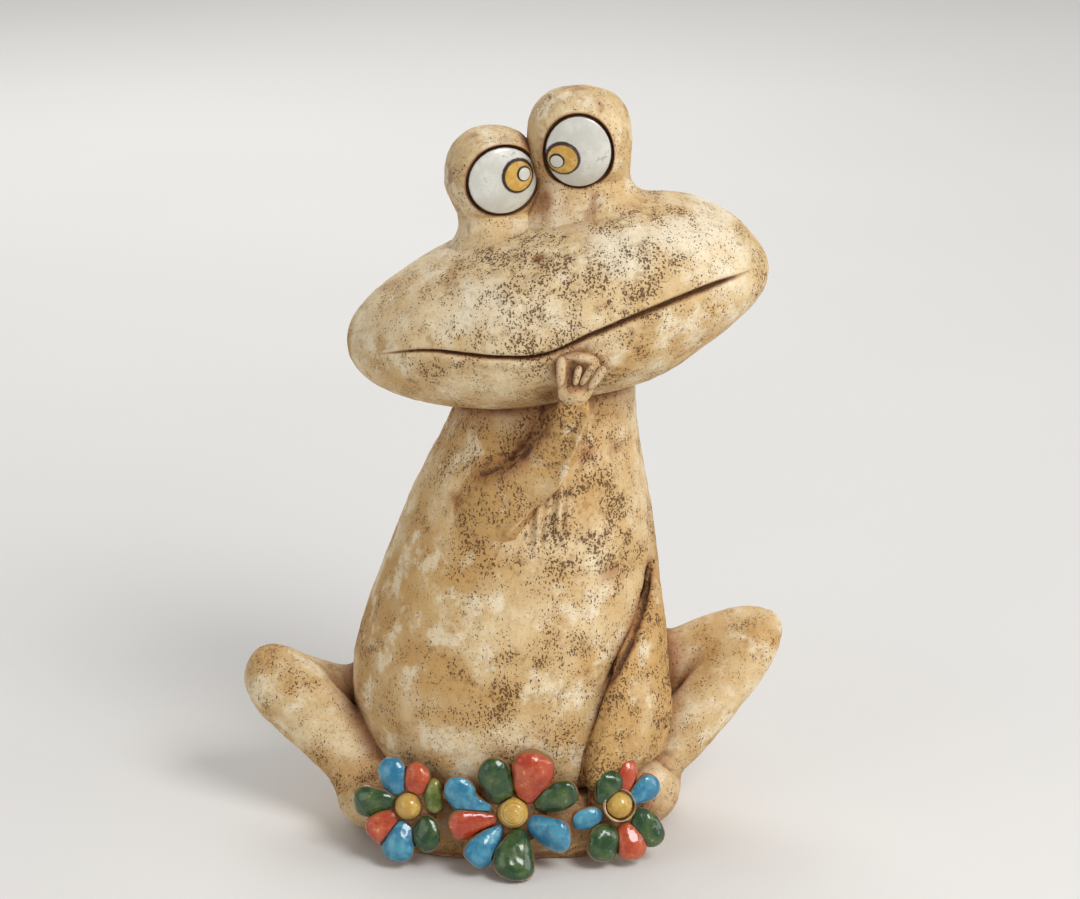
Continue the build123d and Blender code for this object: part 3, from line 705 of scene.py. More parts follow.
for leg_name, leg_form, leg_fillet, joint_fillet, leg_others in legs:
    leg_grid = leg_form.grid(130, 150)
    trunk_gap = outside_trunk(leg_grid)
    joint_gap = nearest(leg_grid, leg_others)
    leg_pitting = patched(leg_grid, 0.20, [])
    leg_skin = flare(leg_grid, outside_trunk, leg_fillet)
    leg_skin = flare(leg_skin, lambda points: nearest(points, leg_others), joint_fillet)
    leg_skin, leg_sunk = worked(leg_skin, leg_pitting)
    leg_skin[..., 2] = np.maximum(leg_skin[..., 2], foot_clearance)
    fold = np.clip(1.6 - trunk_gap / fold_reach, 0, 1)
    leg_stain = deepest(0.9 * wash(trunk_gap, leg_wash), 0.8 * fold * wash(joint_gap, joint_wash))
    add_piece(leg_name + "_clay", leg_skin, clay_finish, "fired_clay", [leg_name],
              stain=leg_stain, ochre=patched(leg_grid, 0.35, []), pitting=leg_pitting, sunk=leg_sunk)

# Arms: the right one is a flattened roll of stoneware raised from the belly to the lower lip, where it ends in a small
# hand with a hollowed palm and four short fingers. The left one is a wide paddle that hangs down the flank, with a
# deep knife groove along its inner side. Both are luted on with slip and smoothed into the body at one edge.
right_arm_width = 0.0220
right_arm_thickness = 0.0130
right_arm_shares = [  # across the half width, up the height, width, stand-off from the body
    (-0.500, 0.490, 0.56, -0.66),
    (-0.325, 0.545, 0.66, -0.46),
    (-0.120, 0.618, 0.66, -0.16),
    (0.080, 0.680, 0.60, 0.20),
    (0.210, 0.738, 0.56, 0.55),
    (0.290, 0.796, 0.52, 0.96),
]
left_arm_width = 0.0300
left_arm_thickness = 0.0100
left_arm_shares = [  # as for the right arm
    (0.860, 0.440, 0.14, -0.10),
    (0.865, 0.395, 0.30, 0.02),
    (0.830, 0.320, 0.62, 0.12),
    (0.770, 0.235, 0.90, 0.18),
    (0.725, 0.145, 1.02, 0.18),
    (0.680, 0.075, 1.00, 0.12),
    (0.650, 0.015, 0.85, 0.00),
]
arm_end = 0.45
arm_flatness = 0.75
arm_wash = 0.0022
clean_fillet = 0.0050
arm_lip_angle = 0.45
arm_lip_spread = 0.24
arm_crease = [  # across, height
    (0.0120, 0.1450),
    (0.0101, 0.1403),
    (0.0074, 0.1338),
    (0.0048, 0.1292),
    (0.0024, 0.1265),
    (-0.0026, 0.1225),
    (-0.0092, 0.1190),
]
crease_width = 0.0008
# Width of a soft band of painted shade along the fold above the right forearm.
fold_shade_width = 0.0036
arm_groove = [  # across, height
    (0.0425, 0.0850),
    (0.0406, 0.0787),
    (0.0390, 0.0736),
    (0.0363, 0.0680),
    (0.0332, 0.0631),
    (0.0305, 0.0588),
    (0.0281, 0.0547),
    (0.0258, 0.0505),
]
groove_width = 0.0010
groove_end = 0.0490
groove_fade = 0.0140
cut_depth = 0.0008
cut_skip = 0.0050
arm_edge = [  # across, height
    (0.0215, 0.1450),
    (0.0211, 0.1408),
    (0.0186, 0.1325),
    (0.0145, 0.1240),
    (0.0104, 0.1170),
    (0.0044, 0.1100),
    (-0.0015, 0.1030),
]
edge_width = 0.0008
edge_rise = 0.0012
chest_blots = [  # across, height, radius, amount
    (0.0035, 0.1280, 0.0032, 0.9),
    (0.0096, 0.1365, 0.0030, 0.8),
    (-0.0165, 0.1105, 0.0022, 0.7),
    (0.0220, 0.1250, 0.0035, 0.7),
    (0.0110, 0.1150, 0.0030, 0.7),
    (0.0315, 0.1250, 0.0030, 0.5),
    (0.0298, 0.0890, 0.0040, 0.5),
]
hand_width = 0.0135
hand_length = 0.0170
hand_thickness = 0.0080
hand_along_share = 0.085
hand_height_share = -0.44
hand_lean = np.radians(8)
hand_tip = np.radians(8)
hand_shares = (0.62, 1.10, 3.2)
finger_length = 0.0105
finger_half_width = 0.0016
finger_place_shares = [  # across the hand, up the hand, length, width, rise, and the angle
    (-0.32, 0.32, 0.98, 0.95, 0.24, 6.0),
    (-0.02, 0.38, 0.62, 0.72, 0.12, -4.0),
    (0.11, 0.40, 0.72, 0.72, 0.13, -20.0),
    (0.29, 0.36, 0.84, 0.90, 0.22, -24.0),
]
finger_shares = (0.85, 1.05, 4.0)
finger_flatness = 0.8
finger_sink = 0.0003
finger_wash = 0.0010
palm_raise = 0.0015
palm_half_width = 0.0046
palm_half_length = 0.0056
palm_depth = 0.0028
hand_wash = 0.0015
hand_shift = np.array([-0.0024, -0.0030, 0.0004])
wrist_share = 0.15
wrist_fillet = 0.0025


def blots(grid, table):
    """Round blots on the front of a skin, seen from the front: each fades as a bell from its amount over its radius."""
    total = np.zeros(grid.shape[:2])
    for x, z, radius, amount in table:
        apart = ((grid[..., 0] - x) ** 2 + (grid[..., 2] - z) ** 2) / radius ** 2
        total = np.maximum(total, amount * np.exp(-apart) * (grid[..., 1] < 0))
    return total


def beside_line(grid, line, width):
    """Bell-shaped band along a chain of straight stretches on the front, given as places across and heights."""
    apart = []
    for first, last in zip(line[:-1], line[1:]):
        run = np.subtract(last, first)
        away = grid[..., ::2] - first
        share = np.clip(away @ run / (run @ run), 0, 1)[..., None]
        apart.append(np.linalg.norm(away - share * run, axis=-1))
    return np.exp(-(np.min(apart, axis=0) / width) ** 2) * (grid[..., 1] < 0)


def folded(grid):
    """Knife lines on the arms, cut unevenly: the fold above the right forearm and the groove inside the left arm."""
    fading = np.clip((grid[..., 2] - groove_end) / groove_fade, 0, 1)
    lines = deepest(beside_line(grid, arm_crease, crease_width),
                    1.5 * beside_line(grid, arm_groove, groove_width) * fading)
    return lines * np.clip(1.0 + 1.8 * lumps(grid, cut_skip, 21), 0.3, 1)


def arm_stations(shares, width, thickness):
    """Centre, outward direction and half sizes of an arm at each of its stations along the body."""
    across, height, wide, stand = np.array(shares).T
    point, outward = torso_front(torso_half_width * across, height)
    centre = point + outward * (thickness * stand)[:, None]
    return np.concatenate([centre, outward, width * wide[:, None] / 2, thickness * np.sqrt(wide)[:, None] / 2], 1)


def arm_grid(stations, rows, columns):
    """Flattened ovals along a smooth line through the stations, each square to that line, with rounded ends."""
    count = len(stations)
    table = np.concatenate([np.arange(count)[:, None], stations], 1)
    way = (count - 1) * np.linspace(0, 1, rows)
    line = through(table, way)
    centre, outward, half_width, half_thickness = line[:3].T, line[3:6].T, line[6], line[7]
    along = np.gradient(centre, axis=0)
    along /= np.linalg.norm(along, axis=1, keepdims=True)
    side = np.cross(along, outward)
    side /= np.linalg.norm(side, axis=1, keepdims=True)
    top = np.cross(side, along)
    end = np.clip(np.minimum(way, count - 1 - way) / arm_end, 0.004, 1)
    round_end = np.sqrt(1 - (1 - end) ** 2)
    angle = np.linspace(0, 2 * np.pi, columns, endpoint=False)[None, :, None]
    wide, thick = (half_width * round_end)[:, None, None], (half_thickness * round_end)[:, None, None]
    flat = power(np.sin(angle), arm_flatness)
    return centre[:, None] + wide * np.cos(angle) * side[:, None] + thick * flat * top[:, None]


def outside_arm(points, stations):
    """How far points lie outside an arm: from a chain of straight tapered stretches between its stations."""
    gaps = []
    for first, last in zip(stations[:-1], stations[1:]):
        run = last[:3] - first[:3]
        share = np.clip((points - first[:3]) @ run / (run @ run), 0, 1)[..., None]
        at = first + share * (last - first)
        away = points - at[..., :3]
        top = np.sum(away * at[..., 3:6], -1)
        side = np.sqrt(np.maximum(np.sum(away ** 2, -1) - top ** 2, 0))
        reach = np.hypot(side / at[..., 6], top / at[..., 7])
        gaps.append((1 - 1 / np.maximum(reach, 1e-6)) * np.linalg.norm(away, axis=-1))
    return np.min(gaps, axis=0)


hand_depth_share = np.sqrt(1 - hand_along_share ** 2 - hand_height_share ** 2)
hand_spot = np.array([hand_along_share * head_half_length, -head_front * hand_depth_share,
                      head_down * hand_height_share])
hand_centre = head_centre + head_turn @ hand_spot + hand_shift
hand_outward = np.array([0, -np.cos(hand_tip), -np.sin(hand_tip)])
hand_rise = np.cross(hand_outward, (1, 0, 0))
hand_along = hand_rise * np.cos(hand_lean) + np.array([np.sin(hand_lean), 0, 0])
hand_across = np.cross(hand_along, hand_outward)
hand_start = hand_centre - hand_along * hand_length / 2
right_hand = Lobe(hand_start, hand_along, hand_outward, hand_length, hand_width / 2, hand_thickness / 2, hand_shares)
wrist = np.concatenate([hand_start + hand_along * hand_length * wrist_share, hand_outward,
                        [hand_width * hand_shares[0] / 2, hand_thickness * hand_shares[0] / 2]])
right_stations = np.concatenate([arm_stations(right_arm_shares, right_arm_width, right_arm_thickness), wrist[None]])
left_stations = arm_stations(left_arm_shares, left_arm_width, left_arm_thickness)
arms = [  # name, stations, lip on the first edge, two fillets, where they lie along the arm, their shares at each edge
    ("right_arm", right_stations, 0.0016, (0.0100, 0.0012), (0.10, 0.75), (0.60, 1.0)),
    ("left_arm", left_stations, 0.0009, (0.0026, 0.0080), (0.60, 0.95), (0.35, 2.0)),
]
for arm_name, stations, lip, fillets, fillet_span, edge_shares in arms:
    rows, columns = 200, 190
    arm_skin = arm_grid(stations, rows, columns)
    arm_pitting = patched(arm_skin, 0.80, [])
    down_arm = np.linspace(0, 1, rows)[:, None]
    edge_angle = np.linspace(0, 2 * np.pi, columns, endpoint=False)[None, :]
    fillet = np.interp(down_arm, fillet_span, fillets)
    fillet = fillet * (edge_shares[1] + (edge_shares[0] - edge_shares[1]) * (1 + np.cos(edge_angle)) / 2)
    lip_ends = np.clip(np.minimum(down_arm - 0.12, 1 - down_arm) / 0.2, 0, 1)
    arm_lip = lip * np.exp(-((edge_angle - arm_lip_angle) / arm_lip_spread) ** 2) * lip_ends
    arm_seam = wash(outside_torso(arm_skin), arm_wash) * np.clip(1.15 - fillet / clean_fillet, 0, 1)
    arm_skin = flare(arm_skin, outside_torso, fillet)
    arm_cut = folded(arm_skin)
    rim = beside_line(arm_skin, arm_edge, edge_width)
    # The stain holds the washes and also a soft band of painted shade along the fold above the right forearm.
    arm_stain = deepest(arm_seam, 1.2 * arm_cut, blots(arm_skin, chest_blots),
                        0.6 * beside_line(arm_skin, arm_crease, fold_shade_width)) * (1 - 0.8 * rim)
    arm_pitting = arm_pitting * (1 - rim)
    arm_skin, arm_sunk = worked(lift(arm_skin, arm_lip + edge_rise * rim - cut_depth * arm_cut), arm_pitting)
    add_piece(arm_name + "_clay", arm_skin, clay_finish, "fired_clay", [arm_name],
              stain=arm_stain, ochre=patched(arm_skin, 1.0, []), pitting=arm_pitting, sunk=arm_sunk)

hand_skin = flare(right_hand.grid(90, 90), lambda points: outside_arm(points, right_stations), wrist_fillet)
palm = hand_skin - hand_centre - hand_along * palm_raise
palm_up = np.clip((hand_skin - hand_centre) @ hand_outward / hand_thickness * 4, 0, 1)
hollow = (palm @ hand_across / palm_half_width) ** 4 + (palm @ hand_along / palm_half_length) ** 4
hollow = np.exp(-hollow) * palm_up
hand_skin, hand_sunk = worked(lift(hand_skin, -palm_depth * hollow), np.full(hollow.shape, 0.4))
add_piece("right_hand_clay", hand_skin, clay_finish, "fired_clay", ["right_hand"],
          stain=deepest(1.1 * hollow, wash(outside_head(hand_skin), hand_wash)), ochre=0.4, pitting=0.3, sunk=hand_sunk)
for number, (aside, root, length, width, rise, swing) in enumerate(finger_place_shares, 1):
    swing = np.radians(swing)
    finger_along = hand_along * np.cos(swing) - hand_across * np.sin(swing)
    finger_root = hand_start + hand_along * hand_length * root
    finger_root = finger_root + hand_across * hand_width * aside + hand_outward * hand_thickness * rise
    finger = Lobe(finger_root, finger_along, hand_outward, finger_length * length,
                  finger_half_width * width, finger_half_width * finger_flatness, finger_shares)
    finger_skin = finger.grid(50, 40)
    above_palm = (finger_skin - finger_root) @ hand_outward + finger_sink
    add_piece("right_finger_%d_clay" % number, finger_skin, clay_finish, "fired_clay", ["right_finger_%d" % number],
              stain=wash(above_palm, finger_wash), ochre=0.3, pitting=0.3, sunk=0.0)

# Eyes: each is a clay ball on a stalk, drawn up out of the head, with a shallow pocket cut into its front.
# A white-glazed disc lies in the pocket, with a yellow iris and a white highlight laid on it, all outlined in brown.
eye_groove = 0.0006
eye_sink = 0.0008
eye_forward = 0.0080
ball_squareness = 2.25
ball_wash = 0.0030
rim_wash = 0.0005
rim_ease = 0.0020
smear_size = 0.0055
smear_grain = 0.0018
white_rim = 0.0012
white_crown = 0.0026
iris_rise = 0.0007
iris_sink = 0.0004
iris_line = 0.0006
highlight_rise = 0.0006
highlight_lift = 0.0003
highlight_line = 0.0005
highlight_share = 0.41
highlight_offset_share = 0.37
eyes = [
    # side, place along the head, radius, stalk, neck and foot shares, fillet, corners,
    # then the white's width and height, the gaze's turn and lift, the iris's radius and place
    ("left", 0.103, 0.0155, 0.0216, 0.95, 0.96, 0.0085, 2.40,
     0.0196, 0.0222, -2.0, -9.0, 0.0048, (-0.464, -0.126)),
    ("right", -0.3046, 0.0142, 0.0162, 0.74, 0.70, 0.0065, 2.15,
     0.0214, 0.0203, 19.0, -1.5, 0.0048, (0.377, 0.160)),
]
brow_wash = np.array([0.0140, -0.0220, 0.2005])
brow_wash_radius = 0.0050
eye_pocket = np.array([0.0072, -0.0178, 0.2000])
eye_pocket_radius = 0.0045
brow_bump = np.array([0.0240, -0.0222, 0.2044])
brow_bump_radius = 0.0016
brow_bump_rise = 0.0011
glaze_relief = 0.0003
thin_glaze = paint(140, 102, 64)
edge_brown = paint(58, 36, 20)


def glazed(name, base, cloud, speck, cloud_size, speck_share):
    """Glossy fired glaze: clouds of a second tone and small specks of a third, where the clouds and a finer noise peak.

    It is tan where the thin measure is high, as at a rim, and brown where the edge measure is.
    """
    material, shader, place = new_finish(name)
    edge = place.measure("edge")
    thin = place.measure("thin")
    clouds = place.noise(cloud_size, 4, 0.6, 0.3)
    fine = place.noise(cloud_size / 5, 3)
    colour = clouds.between(0.40, 0.62).mix(base, cloud)
    colour = (clouds * 0.5 + fine * 0.5).between(0.59 - speck_share, 0.68 - speck_share).mix(colour, speck)
    colour = (thin * (0.2 + 0.8 * fine + 0.8 * clouds)).between(0.35, 0.90).mix(colour, thin_glaze)
    colour = (edge * (0.6 + 0.8 * fine)).between(0.30, 0.75).mix(colour, edge_brown)
    colour.feed(shader, "Base Color")
    (0.16 + 0.14 * fine + 0.35 * edge).feed(shader, "Roughness")
    shader.inputs["Coat Weight"].default_value = 0.5
    shader.inputs["Coat Roughness"].default_value = 0.06
    relief = place.node("ShaderNodeBump", {}, {"Strength": 0.25, "Distance": glaze_relief, "Height": fine})
    relief.feed(shader, "Normal")
    return material


white_glaze = glazed("white_glaze", paint(203, 201, 190), paint(216, 214, 205), paint(184, 180, 160), 0.006, 0.02)
iris_glaze = glazed("iris_glaze", paint(196, 148, 54), paint(214, 174, 86), paint(166, 116, 42), 0.003, 0.02)


def stalk_width(down, radius, stalk, neck_share, foot_share):
    """Half width of the ball and its stalk at a height below the ball's middle: a smooth line through stations."""
    stations = [(0.0, 1.0), (0.25, 0.992), (0.5, 0.5 + neck_share / 2), (0.75, neck_share), (1.0, foot_share),
                (3.0, foot_share)]
    share, = through(stations, np.clip(down / stalk, 0, 3))
    return radius * share


def ball_reach(direction, look, radius, stalk, neck_share, foot_share, flush_front):
    """How far an eye ball and its stalk reach in each direction from the ball's middle.

    Above the middle the reach is the radius. Below it the section at that height is an oval: its half width is the
    stalk's, and its half depth to the front follows the ball and then stays flush with the white. The height depends
    on the reach, so the two are brought together in small steps.
    """
    level = np.maximum(np.hypot(direction[..., 0], direction[..., 1]), 1e-4)
    sinking = np.maximum(-direction[..., 2], 0)
    ahead = np.maximum(direction @ look, 0) / level
    beside = np.sqrt(np.maximum(1 - ahead ** 2, 0))
    longest = (stalk + 0.6 * head_up) / np.maximum(sinking, 1e-4)
    reach = np.full(level.shape, radius)
    for _ in range(14):
        down = reach * sinking
        half_width = stalk_width(down, radius, stalk, neck_share, foot_share)
        half_depth = np.sqrt(np.maximum(radius ** 2 - down ** 2, np.minimum(flush_front, half_width) ** 2))
        below = 1 / np.hypot(beside / half_width, ahead / np.minimum(half_depth, half_width))
        stretched = np.minimum(below / level, longest)
        reach = np.where(sinking > 0, 0.5 * reach + 0.5 * np.maximum(stretched, 0.7 * radius), radius)
    return reach


def eye_pad(dome, centre, x_radius, y_radius, rise, foot, rows=44, columns=144):
    """Round pad on an eye's dome: rings out from its middle, over a rounded edge and down to its foot.

    Gives the points in the eye's own axes, and each point's share of the way out to the edge.
    """
    rounding = np.linspace(0.1, np.pi / 2, 8)
    share = np.concatenate([np.linspace(0.03, 0.93, rows), 0.93 + 0.07 * np.sin(rounding), np.ones(4)])[:, None]
    drop = np.concatenate([np.zeros(rows), 1 - np.cos(rounding), np.linspace(1.2, 2, 4)])[:, None] / 2
    angle = np.linspace(0, 2 * np.pi, columns, endpoint=False)[None, :]
    x, y = centre[0] + x_radius * share * np.cos(angle), centre[1] + y_radius * share * np.sin(angle)
    top = dome(x, y) + rise
    return np.stack([x, y, top - drop * (top - foot(x, y))], -1), np.broadcast_to(share, x.shape)


def spot(points, middle, radius):
    """Bell-shaped spot about a point, falling from 1 as a square exponential of the distance over the radius."""
    return np.exp(-(np.linalg.norm(points - middle, axis=-1) / radius) ** 2)


eye_forms = []
for _, along, radius, stalk, _, foot_share, *_ in eyes:
    aside = along * head_half_length
    ball_centre = np.array([torso_lean + aside * np.cos(head_roll), -eye_forward,
                            head_centre[2] + aside * np.sin(head_roll) + head_up + stalk])
    eye_forms.append((ball_centre, radius, radius * foot_share))
for eye, (ball_centre, *_), (other_centre, other_radius, _) in zip(eyes, eye_forms, eye_forms[::-1]):
    side, _, radius, stalk, neck_share, foot_share, eye_fillet, corners, *gaze = eye
    wide, high, turn, rise, iris_radius, iris_place = gaze
    turn, rise = np.radians((turn, rise))
    look = np.array([np.sin(turn) * np.cos(rise), -np.cos(turn) * np.cos(rise), np.sin(rise)])
    eye_right = np.array([np.cos(turn), np.sin(turn), 0])
    eye_axes = np.stack([eye_right, np.cross(look, eye_right), look])
    half_wide, half_high = wide / 2, high / 2
    larger = max(half_wide, half_high)
    seat = radius * (1 - ((larger + eye_groove) / radius) ** ball_squareness) ** (1 / ball_squareness) - eye_sink
    ball_rows, wall_rows, floor_rows, columns = 150, 6, 12, 220
    angle = np.linspace(0, 2 * np.pi, columns, endpoint=False)[None, :]
    rim_x, rim_y = (half_wide + eye_groove) * np.cos(angle), (half_high + eye_groove) * np.sin(angle)
    rim = np.hypot(rim_x, rim_y)
    tilt = np.arctan2(rim / radius, (1 - (rim / radius) ** ball_squareness) ** (1 / ball_squareness))
    tilt = tilt + (np.pi - 0.03 - tilt) * np.linspace(0, 1, ball_rows)[:, None]
    flat_front = np.sin(tilt) ** ball_squareness + np.maximum(np.cos(tilt), 0) ** ball_squareness
    flat_front = np.where(np.cos(tilt) > 0, flat_front ** (-1 / ball_squareness), 1)
    direction = np.stack([np.sin(tilt) * rim_x / rim, np.sin(tilt) * rim_y / rim, np.cos(tilt)], -1) @ eye_axes
    reach = ball_reach(direction, look, radius, stalk, neck_share, foot_share, radius * np.cos(tilt[0].max()))
    boxed = (np.abs(np.cos(angle)) ** corners + np.abs(np.sin(angle)) ** corners) ** (-1 / corners)
    boxed = 1 + (boxed - 1) * np.clip(direction[..., 2] / 0.3, 0, 1) * np.sin(tilt) ** 2
    ball = ball_centre + direction * (reach * flat_front * boxed)[..., None]
    floor_share = np.linspace(0.05, 1, floor_rows)[:, None]
    pocket_floor = np.stack([rim_x * floor_share, rim_y * floor_share, np.full((floor_rows, columns), seat)], -1)
    pocket_floor = ball_centre + pocket_floor @ eye_axes
    pocket_wall = pocket_floor[-1] + np.linspace(0, 1, wall_rows)[:, None, None] * (ball[0] - pocket_floor[-1])
    from_rim = np.linalg.norm(ball - ball[0], axis=-1)
    ball_pitting = patched(ball, 0.10, [])
    ball_skin, ball_sunk = worked(flare(ball, outside_head, eye_fillet), ball_pitting)
    ball_skin = ball + (ball_skin - ball) * np.clip(from_rim / rim_ease, 0, 1)[..., None]
    ball_skin = lift(ball_skin, brow_bump_rise * spot(ball, brow_bump, brow_bump_radius))
    smears = lumps(ball * (1, 1, 0.6), smear_size, 31) + 0.5 * lumps(ball, smear_grain, 32)
    ball_stain = deepest(
        0.25 * wash(outside_head(ball), ball_wash),
        0.9 * wash(np.linalg.norm(ball - other_centre, axis=-1) - other_radius, ball_wash),
        0.9 * wash(from_rim, rim_wash),
        np.clip(1.1 * smears, 0, 0.5),
        0.8 * spot(ball_skin, brow_wash, brow_wash_radius),
        1.6 * spot(ball_skin, eye_pocket, eye_pocket_radius),
    )
    pocket = np.concatenate([pocket_floor[:-1], pocket_wall[:-1]])
    hidden = np.ones(pocket.shape[:2])
    add_piece(side + "_eye_ball_clay", np.concatenate([pocket, ball_skin]), clay_finish, "fired_clay",
              [side + "_eye_ball"], ochre=0.1, stain=np.concatenate([hidden, ball_stain]),
              pitting=np.concatenate([hidden * 0, ball_pitting]), sunk=np.concatenate([hidden * 0, ball_sunk]))

    dome_radius = (larger ** 2 + white_crown ** 2) / (2 * white_crown)
    dome_centre = seat + white_rim + white_crown - dome_radius
    iris_spot = np.array([half_wide * iris_place[0], half_high * iris_place[1]])
    glint_spot = iris_spot * (1 + iris_radius * highlight_offset_share / np.linalg.norm(iris_spot))
    glint_radius = iris_radius * highlight_share

    def dome(x, y):
        """Height of the white's dome, part of a sphere, over the eye's own plane."""
        return dome_centre + np.sqrt(dome_radius ** 2 - x ** 2 - y ** 2)

    white, white_share = eye_pad(dome, (0, 0), half_wide, half_high, 0.0, lambda x, y: seat)
    from_iris = np.linalg.norm(white[..., :2] - iris_spot, axis=-1) - iris_radius
    white_edge = deepest(np.clip((white_share - 0.945) / 0.05, 0, 1), wash(np.abs(from_iris), iris_line))
    add_piece(side + "_eye_white_glaze", ball_centre + white @ eye_axes, white_glaze, "white_glaze",
              [side + "_eye_white"], edge=white_edge)
    iris, iris_share = eye_pad(dome, iris_spot, iris_radius, iris_radius, iris_rise,
                               lambda x, y: dome(x, y) - iris_sink, 30, 96)
    from_glint = np.linalg.norm(iris[..., :2] - glint_spot, axis=-1) - glint_radius
    iris_edge = deepest(np.clip((iris_share - 0.84) / 0.12, 0, 1), wash(np.abs(from_glint), highlight_line))
    add_piece(side + "_iris_glaze", ball_centre + iris @ eye_axes, iris_glaze, "iris_glaze", [side + "_iris"],
              edge=iris_edge)
    glint, glint_share = eye_pad(dome, glint_spot, glint_radius, glint_radius, iris_rise + highlight_rise,
                                 lambda x, y: dome(x, y) + highlight_lift, 20, 64)
    add_piece(side + "_highlight_glaze", ball_centre + glint @ eye_axes, white_glaze, "white_glaze",
              [side + "_highlight"], edge=np.clip((glint_share - 0.86) / 0.14, 0, 1))


def outside_eyes(points):
    """Gap to the nearer eye ball or its stalk."""
    gaps = []
    for centre, radius, stem_radius in eye_forms:
        away = points - centre
        ball = np.linalg.norm(away, axis=-1) - radius
        stem = np.hypot(away[..., 0], away[..., 1]) - stem_radius
        gaps.append(np.where(away[..., 2] < 0, np.minimum(ball, stem), ball))
    return np.min(gaps, axis=0)


# Body surface: the pear's stoneware skin, worked over once everything that is luted to it is in place.
# The chest is pitted and scraped with a tool, the belly smoothed with a wet thumb, and wash is rubbed into every joint.
# Shade is painted below the chin, where the head shades the chest, and along the fold above the right forearm.
chest_patches = [  # across, height, radius, how much more or less pitted
    (0.006, 0.112, 0.024, 0.80),
    (0.026, 0.104, 0.016, 0.60),
    (-0.002, 0.058, 0.010, 0.50),
    (0.016, 0.062, 0.012, 0.25),
    (0.004, 0.081, 0.011, -0.60),
    (-0.030, 0.085, 0.016, -0.45),
    (0.038, 0.112, 0.008, -0.40),
    (-0.020, 0.042, 0.016, -0.25),
]
# Tone patches: the darker left flank is partly painted shade, and the paler right side partly painted light.
torso_tones_light_and_shade = [  # across, height, radius, how much more or less ochre
    (0.000, 0.128, 0.022, 0.35),
    (-0.038, 0.070, 0.026, 0.40),
    (-0.020, 0.095, 0.016, 0.20),
    (0.038, 0.105, 0.014, -0.35),
    (0.006, 0.078, 0.016, -0.30),
    (-0.010, 0.040, 0.016, -0.20),
]
tool_ridges = [  # across at the top, at the foot, height at the top, at the foot
    (0.0086, 0.0071, 0.1150, 0.0960),
    (0.0150, 0.0136, 0.1190, 0.1000),
]
ridge_width = 0.0008
ridge_rise = 0.0014
ridge_trough = 0.0018
limb_wash = 0.0050
chin_wash = 0.0030
chin_shadow = 0.0100
arm_side_wash = 0.0026
under_edge = np.array(arm_edge) + (0.0014, -0.0012)
under_edge_width = 0.0011
bare_side = -0.0200
bare_side_fade = 0.0160
bare_foot = 0.0340
bare_foot_fade = 0.0140
torso_pitting = patched(torso_grid, 0.30, chest_patches)
torso_skin, torso_sunk = worked(torso_grid, torso_pitting)
torso_x, torso_y, torso_z = np.moveaxis(torso_grid, -1, 0)
ridges = np.zeros(torso_x.shape)
for top_across, foot_across, top_height, foot_height in tool_ridges:
    down = (top_height - torso_z) / (top_height - foot_height)
    aside = torso_x - top_across - (foot_across - top_across) * down
    ends = np.clip(np.minimum(down, 1 - down) / 0.2, 0, 1) * (torso_y < 0)
    trough = np.exp(-((np.abs(aside) - ridge_trough) / ridge_width) ** 2)
    ridges = ridges + ends * (np.exp(-(aside / ridge_width) ** 2) - 0.5 * trough)
torso_cut = folded(torso_grid)
torso_rim = beside_line(torso_grid, arm_edge, edge_width)
torso_skin = lift(torso_skin, ridge_rise * ridges - cut_depth * torso_cut + 0.4 * edge_rise * torso_rim)
limb_gap = np.minimum(nearest(torso_grid, [form for _, form, *_ in legs]), outside_base(torso_grid))
arm_gap = np.minimum(outside_arm(torso_grid, right_stations), outside_arm(torso_grid, left_stations))
chin_gap = outside_head(torso_grid)
fading = np.clip((torso_x - bare_side) / bare_side_fade, 0.1, 1)
fading = fading * np.clip((torso_z - bare_foot) / bare_foot_fade, 0.2, 1)
torso_stain = deepest(
    wash(limb_gap, limb_wash),
    wash(chin_gap, chin_wash),
    # painted shadow of the head on the chest, a wider and fainter band below the chin's wash
    0.4 * wash(chin_gap, chin_shadow),
    0.8 * wash(arm_gap, arm_side_wash) * fading,
    0.7 * np.clip(-ridges, 0, 1),
    1.2 * torso_cut,
    blots(torso_grid, chest_blots),
    # painted shade along the fold above the right forearm
    0.55 * beside_line(torso_grid, arm_crease, fold_shade_width),
    0.75 * beside_line(torso_grid, under_edge, under_edge_width),
) * (1 - 0.8 * torso_rim)
add_piece("torso_clay", torso_skin, clay_finish, "fired_clay", ["torso"], stain=torso_stain,
          ochre=patched(torso_grid, 0.40, torso_tones_light_and_shade, -1.0), pitting=torso_pitting, sunk=torso_sunk)

# Head surface: the lens's stoneware skin, with the mouth cut in by a knife between two lips that it pushed up.
# The face is pitted in patches, a brown spot marks the nostril, and wash is left round the eyes and the neck.
# Shadow is painted round the hand, and the face's tone is partly painted shade at its lower left end and partly painted
# light at its upper right.
mouth_half_gap = 0.0008
mouth_depth = 0.0024
lip_rise = 0.0007
lip_width = 0.0022
face_patches = [  # across, height, radius, how much more or less pitted
    (0.0020, 0.1960, 0.016, 0.50),
    (0.0120, 0.1750, 0.020, 0.40),
    (0.0300, 0.1800, 0.014, 0.35),
    (0.0420, 0.1860, 0.012, 0.20),
    (0.0200, 0.1850, 0.008, -0.30),
    (0.0560, 0.1820, 0.010, -0.45),
    (-0.0350, 0.1600, 0.012, -0.25),
]
